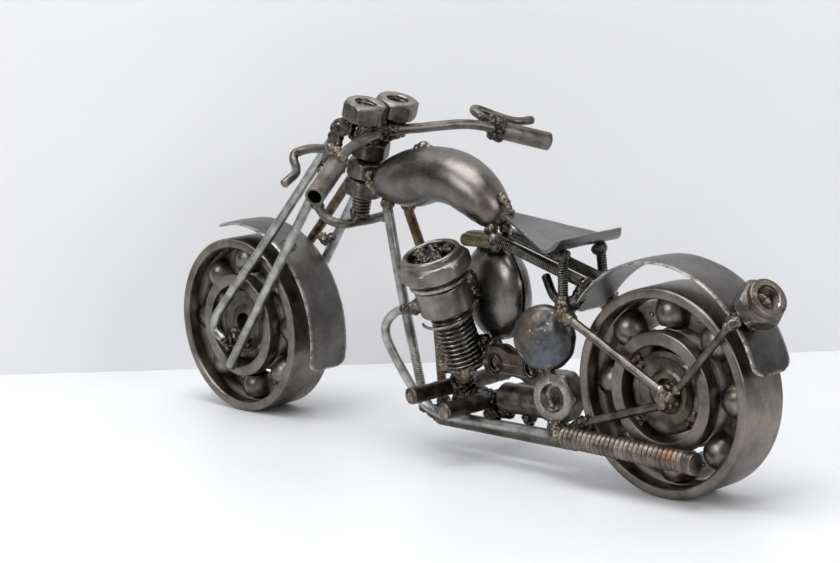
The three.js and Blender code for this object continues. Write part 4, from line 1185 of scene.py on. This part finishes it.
def chain_link():
    """Two waisted plates joined by bushes with proud rims."""
    low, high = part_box("chain_link")
    width = high.y - low.y
    end_radius = (high.z - low.z) / 2
    pitch = (high.x - low.x) - 2 * end_radius
    centre = (low + high) / 2
    plate = 1.1 * MM
    for label, y in (("left", high.y - plate / 2), ("right", low.y + plate / 2)):
        curve = bpy.data.curves.new(f"chain_plate_{label}", "CURVE")
        curve.dimensions = "2D"
        curve.fill_mode = "BOTH"
        curve.extrude = plate / 2 - 0.18 * MM
        curve.bevel_depth = 0.18 * MM
        curve.bevel_resolution = 2
        outline = []
        for side in (1, -1):
            for i in range(25):
                angle = math.radians(-112 + 224 * i / 24) + (0 if side > 0 else math.pi)
                outline.append((side * pitch / 2 + (end_radius - 0.18 * MM) * math.cos(angle),
                                (end_radius - 0.18 * MM) * math.sin(angle)))
            last = outline[-1]
            for part in (0.25, 0.5, 0.75):
                x = last[0] * (1 - 2 * part)
                sag = 1 - 4 * (part - 0.5) ** 2
                outline.append((x, last[1] * (1 - 0.32 * sag)))
        loops = [outline]
        for side in (1, -1):
            loops.append([(side * pitch / 2 + 2.2 * MM * math.cos(a), 2.2 * MM * math.sin(a))
                          for a in (2 * math.pi * k / 32 for k in range(32))])
        for loop in loops:
            spline = curve.splines.new("POLY")
            spline.points.add(len(loop) - 1)
            for point, (x, z) in zip(spline.points, loop):
                point.co = (x, z, 0, 1)
            spline.use_cyclic_u = True
        obj = bpy.data.objects.new(f"chain_plate_{label}", curve)
        SCENE.collection.objects.link(obj)
        graph = bpy.context.evaluated_depsgraph_get()
        mesh = bpy.data.meshes.new_from_object(obj.evaluated_get(graph))
        bpy.data.objects.remove(obj)
        mesh.transform(Matrix.Translation((centre.x, y, centre.z)) @ Matrix.Rotation(math.pi / 2, 4, "X"))
        solid_obj = bpy.data.objects.new(f"chain_plate_{label}", mesh)
        SCENE.collection.objects.link(solid_obj)
        mesh.polygons.foreach_set("use_smooth", [True] * len(mesh.polygons))
        mesh.set_sharp_from_angle(angle=math.radians(50))
        if label == "left":
            piece(solid_obj, "frame", FINISH["chain"], "chain_link")
        else:
            piece(solid_obj, "frame", FINISH["chain"])
    for label, side in (("front", 1), ("rear", -1)):
        place = Vector((centre.x + side * pitch / 2, centre.y, centre.z))
        half = width / 2
        profile = [(2.2 * MM, 0), (2.2 * MM, half), (2.85 * MM, half), (2.85 * MM, half - 0.3 * MM),
                   (2.6 * MM, half - plate), (3.1 * MM, half - plate - 0.1 * MM)]
        profile += [(r, -z) for r, z in reversed(profile)]
        pose = axes_from(LEFT, UP, place)
        bush = lathe(f"chain_bush_{label}", filleted(profile, 0.15 * MM, 3), pose, 40, True)
        piece(bush, "frame", FINISH["nut_big"])
        depth = half - 1.3 * MM
        dished_plug(f"chain_plug_{label}", pose, 2.2 * MM, depth, -depth)


def dished_plug(name, pose, radius, outer, inner):
    """Dark rough metal that closes a hole below its rim."""
    dish = [(0, outer - 0.5 * MM), (radius * 0.6, outer - 0.4 * MM)]
    profile = [*dish, (radius, outer), (radius, inner), (0, inner)]
    plug = lathe(name, profile, pose, 48)
    roughen(plug, 0.3 * MM, 1.8 * MM, 4)
    piece(plug, "frame", FINISH["weld_dark"])


def plugs():
    """Plugs in the side nut and the tail nut."""
    for node, outward, recess in (("sprocket_nut", LEFT, 2.2 * MM), ("tail_light_nut", BACK, 1.6 * MM)):
        pose, _, height, bore = hex_pose(node, outward)
        dished_plug(f"{node}_plug", pose, bore, height / 2 - recess, 0.4 * MM - height / 2)


def knurled_insert():
    """A brass insert with a diamond knurl."""
    line, radius = spine("knurled_insert")

    def knurl(s, angle, length):
        turns = angle / (2 * math.pi) * 18
        forward = wave(turns + s / (0.95 * MM))
        backward = wave(turns - s / (0.95 * MM))
        return radius - 0.3 * MM * max(forward, backward)

    obj = sweep("knurled_brass_insert", line, knurl, 0.12 * MM, 108, 0.15 * MM)
    piece(obj, "frame", FINISH["brass"], "knurled_insert")


# ---------------------------------------------------------------- welds


def bead(name, body, spots, finish="weld", ripple=0.4, seed=1):
    piece(lump(name, spots, ripple=ripple * MM, seed=seed), body, FINISH[finish])


def around(base, *spots):
    """Drops of weld near a place. Each is x, y, z and radius in millimetres."""
    return [(base + Vector(spot[:3]) * MM, spot[3] * MM) for spot in spots]


def frame_welds():
    """Beads where the rods meet each other, the rear hub, the seat and the foot of the frame."""
    for label, side in (("left", 1), ("right", -1)):
        stay = end_of(f"seat_stay_{label}", BACK)
        chain = end_of(f"chain_stay_{label}", BACK)
        strut = end_of(f"fender_strut_{label}", FORWARD)
        inward = Vector((0, -side, 0)) * MM
        spots = [(stay, 1.5 * MM), (chain, 1.5 * MM), (strut, 1.25 * MM), (stay.lerp(chain, 0.5), 1.9 * MM),
                 (strut.lerp(chain, 0.5), 1.5 * MM), (chain + inward * 1.8, 1.9 * MM),
                 (stay + inward * 1.8, 1.9 * MM), (chain + inward * 3.6, 2.1 * MM),
                 (stay + inward * 3.6, 2.0 * MM)]
        bead(f"weld_rear_hub_{label}", "frame", spots, "weld_tan", 0.35, 3)
        top = end_of(f"fender_strut_{label}", UP)
        spots = chain_of(top, top + Vector((-1.6, -side * 1.6, 1.4)) * MM, 1.35 * MM, 4, 0.1)
        bead(f"weld_strut_top_{label}", "frame", spots, "weld", 0.3, 4)
        front = end_of(f"seat_stay_{label}", FORWARD)
        post = end_of(f"seat_post_{label}", DOWN)
        spots = chain_of(front, post, 2.3 * MM, 4, 0.15)
        spots += around(front, (-2.0, 0, -1.2, 1.9), (0.6, -side * 1.6, 0.4, 2.5))
        bead(f"weld_seat_stay_{label}", "frame", spots, "weld_tan", 0.45, 6)
        seat_top = end_of(f"seat_post_{label}", UP)
        spots = around(seat_top, (0, 0, 0.1, 1.7), (0.9, 0.6, -0.4, 1.4), (-0.9, 0.7, -0.2, 1.4),
                                 (0.3, -1.2, 0, 1.3))
        bead(f"weld_seat_post_{label}", "frame", spots, "weld_dark", 0.35, 7)
        chain_front = end_of(f"chain_stay_{label}", FORWARD)
        spots = [(chain_front, 1.7 * MM), *around(chain_front, (2.2, -side * 0.8, -1.0, 2.0),
                 (4.6, -side * 1.6, -2.0, 2.0), (6.6, -side * 2.8, -3.2, 1.9),
                 (9.0, -side * 5.0, -5.0, 1.9), (11.6, -side * 7.4, -7.0, 1.9))]
        bead(f"weld_chain_stay_{label}", "frame", spots, "weld_dark", 0.45, 8)
        rail_end = end_of(f"upper_rail_{label}", BACK)
        spots = [(rail_end, 1.9 * MM), *around(rail_end, (0.8, side * 1.2, -2.2, 2.0),
                 (1.6, side * 2.6, -4.2, 1.9))]
        bead(f"weld_rail_rear_{label}", "frame", spots, "weld_dark", 0.45, 9)
        rail_front = end_of(f"upper_rail_{label}", FORWARD)
        spots = [(rail_front, 1.8 * MM), *around(rail_front, (2.0, -side * 1.0, 2.2, 1.8))]
        bead(f"weld_rail_front_{label}", "frame", spots, "weld", 0.35, 10)
        tube_top = end_of(f"down_tube_{label}", UP)
        spots = around(tube_top, (0, 0, 0.3, 1.6), (-1.0, 0, 0.9, 1.4), (0.9, 0, 0.9, 1.4))
        bead(f"weld_down_tube_top_{label}", "frame", spots, "weld_tan", 0.3, 11)
    foot = end_of("down_tube_left", DOWN)
    other = end_of("down_tube_right", DOWN)
    rail = end_of("bottom_rail", FORWARD)
    spots = [(foot, 1.9 * MM), (other, 1.9 * MM), *around(rail, (0.4, 0, 0.6, 2.3)),
             (foot.lerp(rail, 0.5), 2.0 * MM), (other.lerp(rail, 0.5), 2.0 * MM)]
    bead("weld_frame_foot", "frame", spots, "weld_dark", 0.45, 12)


def tail_welds():
    """A ring of weld behind the tail nut, with a run down to the fender."""
    matrix, _, height, _ = hex_pose("tail_light_nut", BACK)
    base = matrix.translation - matrix.to_3x3() @ UP * (height / 2)
    inward = -(matrix.to_3x3() @ UP)
    spots = []
    for i in range(7):
        angle = 2 * math.pi * i / 7
        round_nut = matrix.to_3x3() @ Vector((math.cos(angle), math.sin(angle), 0)) * 3.6 * MM
        spots.append((base + round_nut + inward * 0.7 * MM, 1.7 * MM))
    spots.append((base + inward * 2.0 * MM, 3.2 * MM))
    spots.append((base + Vector((2.6, 2.8, -1.6)) * MM, 1.9 * MM))
    spots.append((base + Vector((3.0, 4.8, -1.8)) * MM, 1.6 * MM))
    bead("weld_tail_nut", "frame", spots, "weld_dark", 0.55, 13)


def engine_welds(base, axis):
    """Beads between the cylinder, the domes, the header, the pegs and the big nut."""
    dome = middle("dome_left")
    band_bottom, band_top = extent_along("cylinder_band", axis)
    band_mid = base.translation + axis * ((band_bottom + band_top) / 2 - base.translation.dot(axis))
    towards_dome = (dome - band_mid)
    towards_dome -= axis * towards_dome.dot(axis)
    towards_dome.normalize()
    side = axis.cross(towards_dome).normalized()
    spots = []
    for i in range(6):
        lift = (3.4 - 1.5 * i) * MM
        spread = (2.6 - 0.5 * i) * MM * (1 if side.dot(LEFT) > 0 else -1)
        spots.append((band_mid + towards_dome * (7.2 + 0.25 * i) * MM + axis * lift + side * spread,
                      (1.9 - 0.12 * (i % 3)) * MM))
    bead("weld_band_dome", "frame", spots, "weld", 0.55, 21)

    header = end_of("exhaust_header", UP)
    to_band = (band_mid - header).normalized()
    spots = [(header, 1.7 * MM), (header + to_band * 1.5 * MM, 2.1 * MM),
             (header + to_band * 2.6 * MM, 2.0 * MM), *around(header, (1.6, 0.2, -0.1, 1.6))]
    bead("weld_header_top", "frame", spots, "weld", 0.35, 22)

    fins_low, _ = extent_along("cylinder_fins", axis)
    foot = base.translation + axis * (fins_low - base.translation.dot(axis))
    peg = middle("foot_peg_front")
    rear_peg = middle("foot_peg_rear")
    edge = foot + Vector((3.8, 4.0, 0)) * MM
    spots = [*around(edge, (0.3, 0.2, 7.2, 1.5), (0.6, 0.4, 5.2, 1.9), (0.2, 0.3, 3.0, 2.2),
             (-0.6, 0.2, 0.8, 2.4)), *around(foot, (-0.5, 1.5, -0.6, 3.6), (-3.0, 3.2, -1.4, 2.5))]
    bead("weld_barrel_foot", "frame", spots, "weld_tan", 0.6, 23)
    spots = chain_of(foot + Vector((0, 1, -2)) * MM, peg + Vector((-1.5, 2.0, 0)) * MM, 3.0 * MM, 4)
    spots += chain_of(peg + Vector((-1, 1, -1)) * MM, rear_peg + Vector((0, 1, 0)) * MM, 2.7 * MM, 5)
    rail_height = middle("bottom_rail").z
    spots += [(Vector((peg.x, 0, (peg.z + rail_height) / 2)), 2.6 * MM),
              (Vector((peg.x, 0, rail_height + 2 * MM)), 2.4 * MM),
              (Vector((rear_peg.x, 0, (rear_peg.z + rail_height) / 2)), 2.6 * MM)]
    bead("weld_crankcase", "frame", spots, "weld_dark", 0.6, 24)

    nut_low, nut_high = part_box("sprocket_nut")
    nut_mid = (nut_low + nut_high) / 2
    below = Vector((nut_mid.x, nut_mid.y + 1.2 * MM, nut_low.z))
    spots = around(below, (0, 0, 0.4, 2.1), (-0.6, 1.2, -1.4, 2.2), (-1.4, 2.6, -2.6, 2.1),
                          (-3.2, 3.4, -2.6, 2.0), (1.0, -3.0, -3.2, 2.4), (0.4, -5.4, -5.2, 2.5))
    bead("weld_nut_foot", "frame", spots, "weld_tan", 0.5, 25)
    cover_low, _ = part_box("clutch_cover")
    neck = Vector((nut_mid.x + 0.8 * MM, nut_high.y - 1.6 * MM, (nut_high.z + cover_low.z) / 2 + 0.2 * MM))
    spots = chain_of(neck + Vector((0.2, 0, 1.3)) * MM, neck + Vector((0.6, -0.4, -1.5)) * MM, 1.5 * MM, 3)
    bead("weld_nut_cover", "frame", spots, "weld_tan", 0.4, 26)

    link_low, link_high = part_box("chain_link")
    spots = [(Vector((link_low.x + 1.5 * MM, link_high.y - 2.0 * MM, link_low.z + 1.0 * MM)), 2.0 * MM),
             (Vector((link_low.x - 1.2 * MM, link_high.y - 1.6 * MM, link_low.z - 0.4 * MM)), 2.2 * MM),
             (Vector((link_low.x - 3.6 * MM, link_high.y - 0.6 * MM, link_low.z - 1.0 * MM)), 2.1 * MM)]
    bead("weld_link_nut", "frame", spots, "weld_dark", 0.5, 27)
    dome_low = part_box("dome_left")[0]
    spots = [(Vector((dome.x, 0, dome_low.z - 0.2 * MM)), 2.6 * MM),
             (Vector((dome.x - 4 * MM, 0.5 * MM, link_high.z - 0.6 * MM)), 2.2 * MM),
             (Vector((dome.x + 3.4 * MM, 0.5 * MM, link_high.z - 0.3 * MM)), 1.9 * MM)]
    bead("weld_dome_foot", "frame", spots, "weld_dark", 0.5, 28)
    bar_low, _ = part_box("head_bar")
    spots = chain_of(Vector((bar_low.x + 2 * MM, 0, bar_low.z - 0.4 * MM)),
                     Vector((bar_low.x + 7 * MM, 0, bar_low.z - 0.8 * MM)), 1.3 * MM, 4)
    bead("weld_head_bar", "frame", spots, "weld_dark", 0.4, 29)
    case_mid = middle("crankcase_bar")
    spots = around(case_mid, (-9.2, 1.0, -2.0, 2.6), (-10.6, 2.6, 0.4, 2.4), (8.0, 0.6, -3.6, 2.2),
                             (0, 0.4, -4.6, 2.0), (-9.4, 0.4, -5.2, 2.4))
    bead("weld_case_ends", "frame", spots, "weld_dark", 0.55, 30)


def top_welds():
    """The rough neck between the tank and the nuts, and the strap from the tank to the seat."""
    low_nut = hex_pose("head_nut_lower", UP)[0]
    high_nut = hex_pose("head_nut_upper", UP)[0]
    neck = Vector((TANK_HIGH.x, 0, (low_nut.translation.z + high_nut.translation.z) / 2))
    spots = []
    for i, y in enumerate((-3.2, -1.4, 0.6, 2.4, 3.8)):
        spots.append((neck + Vector((0.3, y, 1.2 - 0.7 * (i % 2))) * MM, 1.6 * MM))
        spots.append((neck + Vector((1.3, y * 0.85, -1.2 + 0.6 * (i % 2))) * MM, 1.5 * MM))
        spots.append((neck + Vector((-0.9, y * 0.9, -2.6)) * MM, 1.4 * MM))
    bead("weld_tank_neck", "frame", spots, "weld_tan", 0.6, 31)
    tail = Vector((TANK_LOW.x, 0, TANK_LOW.z))
    _, seat_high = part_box("seat")
    strap = [tail + Vector((0.4, 0.2, 8.6)) * MM, tail + Vector((-1.4, 0.3, 7.0)) * MM,
             tail + Vector((-2.8, 0.4, 5.0)) * MM,
             Vector((seat_high.x - 1.6 * MM, 0.4 * MM, seat_high.z + 0.3 * MM))]
    spots = [(p, (1.35 - 0.12 * i) * MM) for i, p in enumerate(smooth_line(strap, 1.2 * MM)[:8])]
    bead("weld_seat_strap", "frame", spots, "weld_tan", 0.25, 32)


def fork_welds():
    """Beads on the handlebar, the grips and levers, and both ends of the fork."""
    line, _ = spine("handlebar")
    crown = min(line, key=lambda p: abs(p.y))
    gauge = {label: hex_pose(f"gauge_nut_{label}")[0].translation for label in ("left", "right")}
    spots = []
    for i in range(7):
        y = (-6 + 2 * i) * MM
        spots.append((crown + Vector((0.6 * math.cos(i * 2.1), 0, -0.3 + 0.8 * math.sin(i * 1.7))) * MM
                      + Vector((0, y, 0)), (2.4 + 0.3 * math.cos(i * 2.7)) * MM))
        spots.append((crown + Vector((3.2, 0, -0.9 + 0.7 * math.sin(i * 2.3))) * MM
                      + Vector((0, y, 0)), 2.4 * MM))
    for i in range(5):
        spots.append((crown + Vector((5.6 + 0.3 * i, -4 + 2.2 * i, 0.2)) * MM, 2.0 * MM))
    bead("weld_bar_clamp", "fork", spots, "weld_dark", 0.7, 41)
    for label, side in (("left", 1), ("right", -1)):
        top = end_of(f"fork_leg_front_{label}", UP)
        rear_top = end_of(f"fork_leg_rear_{label}", UP)
        nut_front = gauge[label] + Vector((4.4, side * 2.2, -3.6)) * MM
        spots = chain_of(nut_front, top + Vector((0.2, 0, 0.2)) * MM, 2.6 * MM, 4, 0.1)
        spots += chain_of(top, top.lerp(rear_top, 0.72), 2.4 * MM, 5, 0.25)
        bead(f"weld_fork_top_{label}", "fork", spots, "weld_dark", 0.55, 42)
        spots = [(rear_top, 1.8 * MM), (rear_top.lerp(top, 0.3), 1.7 * MM),
                 *around(rear_top, (-1.4, -side * 0.4, 0.8, 1.6))]
        bead(f"weld_leg_top_{label}", "fork", spots, "weld_tan", 0.35, 43)
        inner = min((p for p in spine("handlebar")[0]), key=lambda p: abs(p.y - side * 28 * MM))
        spots = []
        for i in range(7):
            angle = 2 * math.pi * i / 7
            ring = Vector((math.cos(angle), 0, math.sin(angle))) * 2.2 * MM
            spots.append((inner + Vector((0, side * 1.0 * MM, 0)) + ring, (1.6 + 0.3 * (i % 2)) * MM))
        lever = min((end_of(f"lever_{label}", towards) for towards in (LEFT, RIGHT)), key=lambda p: abs(p.y))
        spots += chain_of(inner + Vector((0.8, -side * 0.8, 0.6)) * MM, lever, 1.6 * MM, 4, 0.1)
        bead(f"weld_grip_{label}", "fork", spots, "weld_tan" if side > 0 else "weld_dark", 0.5, 44)
        fender_low, fender_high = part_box("front_fender")
        leg = spine(f"fork_leg_rear_{label}")[0]
        lower = max(leg[0], leg[-1], key=lambda p: p.z).lerp(min(leg[0], leg[-1], key=lambda p: p.z), 0.39)
        edge_y = (fender_high.y if side > 0 else fender_low.y)
        spots = [(Vector((lower.x + 1.0 * MM, edge_y - side * 0.3 * MM, lower.z + 0.6 * MM)), 1.6 * MM),
                 (Vector((lower.x - 0.8 * MM, edge_y + side * 0.6 * MM, lower.z + 1.2 * MM)), 1.5 * MM),
                 (Vector((lower.x + 2.6 * MM, edge_y + side * 0.2 * MM, lower.z + 1.4 * MM)), 1.4 * MM)]
        bead(f"weld_front_fender_{label}", "fork", spots, "weld", 0.4, 45)
        foot = end_of(f"fork_leg_rear_{label}", DOWN)
        spots = around(foot, (0, -side * 0.8, 0.2, 1.55), (-1.2, -side * 1.2, 1.4, 1.3),
                             (1.2, -side * 1.3, -0.2, 1.2))
        bead(f"weld_leg_foot_{label}", "fork", spots, "weld_tan", 0.3, 46)
        hook = end_of(f"fork_leg_front_{label}", DOWN)
        inward = Vector((0, -side, 0)) * MM
        spots = [(hook, 1.5 * MM), (hook + inward * 1.6, 1.8 * MM), (hook + inward * 3.2, 2.1 * MM),
                 (hook + inward * 4.4 + Vector((-1.6, 0, -0.8)) * MM, 1.7 * MM),
                 (hook + inward * 4.4 + Vector((0.6, 0, 1.8)) * MM, 1.5 * MM),
                 (hook + inward * 4.6 + Vector((-4.2, 0, -1.6)) * MM, 1.5 * MM)]
        bead(f"weld_front_hub_{label}", "fork", spots, "weld", 0.4, 47)
    head = hex_pose("fork_nut", UP)[0].translation
    spots = [(head + Vector((-2.4, y, 3.4)) * MM, 2.2 * MM) for y in (-3.0, 0.0, 3.0)]
    spots += [(head + Vector((1.6, y, 3.9)) * MM, 2.2 * MM) for y in (-3.6, 0.2, 3.6)]
    spots += [(head.lerp(crown, 0.6) + Vector((0.4, y, 0)) * MM, 2.3 * MM) for y in (-2.4, 2.4)]
    bead("weld_fork_nut", "fork", spots, "weld_dark", 0.6, 48)
    bolt_foot = end_of("steering_bolt", DOWN)
    spots = around(bolt_foot, (0.2, 0.6, 0.2, 2.3), (0.1, -1.2, -0.6, 1.9), (0.4, 1.6, -1.4, 1.6))
    bead("weld_bolt_foot", "fork", spots, "weld_dark", 0.5, 49)
    yoke_tip = end_of("lower_yoke", LEFT)
    spots = [(yoke_tip, 1.6 * MM), *around(yoke_tip, (0.4, 1.0, 0.7, 1.5))]
    bead("weld_yoke_left", "fork", spots, "weld", 0.3, 50)
    yoke_end = end_of("lower_yoke", RIGHT)
    spots = [(yoke_end, 1.6 * MM), *around(yoke_end, (0.2, 0.9, -0.3, 1.5))]
    bead("weld_yoke_right", "fork", spots, "weld", 0.4, 51)


# ---------------------------------------------------------------- studio


def studio():
    floor_mesh = bpy.data.meshes.new("floor")
    reach = 3.0
    floor_mesh.from_pydata([(-reach, -reach, 0), (reach, -reach, 0), (reach, reach, 0), (-reach, reach, 0)],
                           [], [(0, 1, 2, 3)])
    floor = bpy.data.objects.new("floor", floor_mesh)
    SCENE.collection.objects.link(floor)
    material = bpy.data.materials.new("floor")
    material.use_nodes = True
    shader = material.node_tree.nodes["Principled BSDF"]
    shader.inputs["Base Color"].default_value = (*FLOOR_COLOUR, 1)
    shader.inputs["Roughness"].default_value = 0.42
    floor_mesh.materials.append(material)

    along = Vector((math.cos(WALL_ANGLE), math.sin(WALL_ANGLE), 0))
    low = WALL_POINT - along * 2
    high = WALL_POINT + along * 2
    corners = [low, high, high + UP * 1.6, low + UP * 1.6]
    wall_mesh = bpy.data.meshes.new("wall")
    wall_mesh.from_pydata([tuple(c) for c in corners], [], [(3, 2, 1, 0)])
    wall = bpy.data.objects.new("wall", wall_mesh)
    SCENE.collection.objects.link(wall)
    material = bpy.data.materials.new("wall")
    material.use_nodes = True
    tree = material.node_tree
    shader = tree.nodes["Principled BSDF"]
    shader.inputs["Base Color"].default_value = (*WALL_COLOUR, 1)
    shader.inputs["Roughness"].default_value = 0.6
    g = Graph(tree)
    behind = g.put("ShaderNodeNewGeometry").outputs["Backfacing"]
    clear = g.put("ShaderNodeBsdfTransparent")
    choice = g.put("ShaderNodeMixShader")
    tree.links.new(behind, choice.inputs[0])
    tree.links.new(shader.outputs[0], choice.inputs[1])
    tree.links.new(clear.outputs[0], choice.inputs[2])
    tree.links.new(choice.outputs[0], tree.nodes["Material Output"].inputs["Surface"])
    wall_mesh.materials.append(material)

    world = bpy.data.worlds.new("studio")
    SCENE.world = world
    world.use_nodes = True
    background = world.node_tree.nodes["Background"]
    background.inputs["Color"].default_value = (0.92, 0.95, 1.0, 1)
    background.inputs["Strength"].default_value = 0.30
    soft_light("top_light", (0.00, 0.12, 0.80), (0, 0, 0.04), 0.62, 0.55, 6.2)
    soft_light("left_light", (0.05, 0.95, 0.62), (0.02, 0, 0.05), 0.45, 0.45, 4.2)
    soft_light("rear_light", (-0.95, 0.10, 0.42), (0, 0, 0.05), 0.4, 0.35, 3.0)
    SCENE.view_settings.view_transform = "Standard"
    SCENE.view_settings.look = "None"


def soft_light(name, place, target, width, height, power):
    data = bpy.data.lights.new(name, "AREA")
    data.shape = "RECTANGLE"
    data.size = width
    data.size_y = height
    data.energy = power
    light = bpy.data.objects.new(name, data)
    SCENE.collection.objects.link(light)
    light.location = place
    light.rotation_euler = (Vector(target) - Vector(place)).to_track_quat("-Z", "Y").to_euler()


def camera():
    look = Vector((
        math.cos(CAMERA_PITCH) * math.cos(CAMERA_YAW),
        math.cos(CAMERA_PITCH) * math.sin(CAMERA_YAW),
        math.sin(CAMERA_PITCH),
    ))
    right = look.cross(UP).normalized()
    above = right.cross(look)
    turned_right = right * math.cos(CAMERA_ROLL) + above * math.sin(CAMERA_ROLL)
    turned_above = above * math.cos(CAMERA_ROLL) - right * math.sin(CAMERA_ROLL)
    data = bpy.data.cameras.new("camera")
    data.lens = CAMERA_LENS
    data.sensor_width = 36
    data.clip_start = 0.01
    eye = bpy.data.objects.new("camera", data)
    SCENE.collection.objects.link(eye)
    matrix = Matrix((turned_right, turned_above, -look)).transposed().to_4x4()
    matrix.translation = CAMERA_PLACE
    eye.matrix_world = matrix
    SCENE.camera = eye


def nuts():
    piece(nut("head_lower_nut", "head_nut_lower"), "frame", FINISH["nut"], "head_nut_lower")
    piece(nut("head_upper_nut", "head_nut_upper"), "frame", FINISH["nut"], "head_nut_upper")
    piece(nut("fork_top_nut", "fork_nut"), "fork", FINISH["nut_dark"], "fork_nut")
    for side in ("left", "right"):
        node = f"gauge_nut_{side}"
        piece(nut(f"{node}_body", node), "fork", FINISH["nut"], node)
    piece(nut("sprocket_side_nut", "sprocket_nut", outward=LEFT), "frame", FINISH["nut_big"], "sprocket_nut")
    tail = nut("tail_nut", "tail_light_nut", outward=BACK, collar=(4.9 * MM, 1.9 * MM))
    piece(tail, "frame", FINISH["nut_tail"], "tail_light_nut")


def head_bar():
    obj = softened("head_bar_block", "head_bar", 0.2 * MM, 5)
    roughen(obj, 0.15 * MM, 3 * MM, 3)
    piece(obj, "frame", FINISH["sheet"], "head_bar")


studio()
camera()
wheel("rear", "frame")
wheel("front", "fork")
rods()
muffler_ring()
pegs()
grips()
fender("front_fender_sheet", "front_fender", "fork", 0.25 * MM, 2.2 * MM, 1.0)
fender("rear_fender_sheet", "rear_fender", "frame", 0.3 * MM, 3.2 * MM, 4.0)
seat()
tank()
nuts()
head_bar()
CYLINDER, CYLINDER_AXIS = cylinder_parts()
turned_shells()
chain_link()
knurled_insert()
plugs()
frame_welds()
tail_welds()
engine_welds(CYLINDER, CYLINDER_AXIS)
top_welds()
fork_welds()
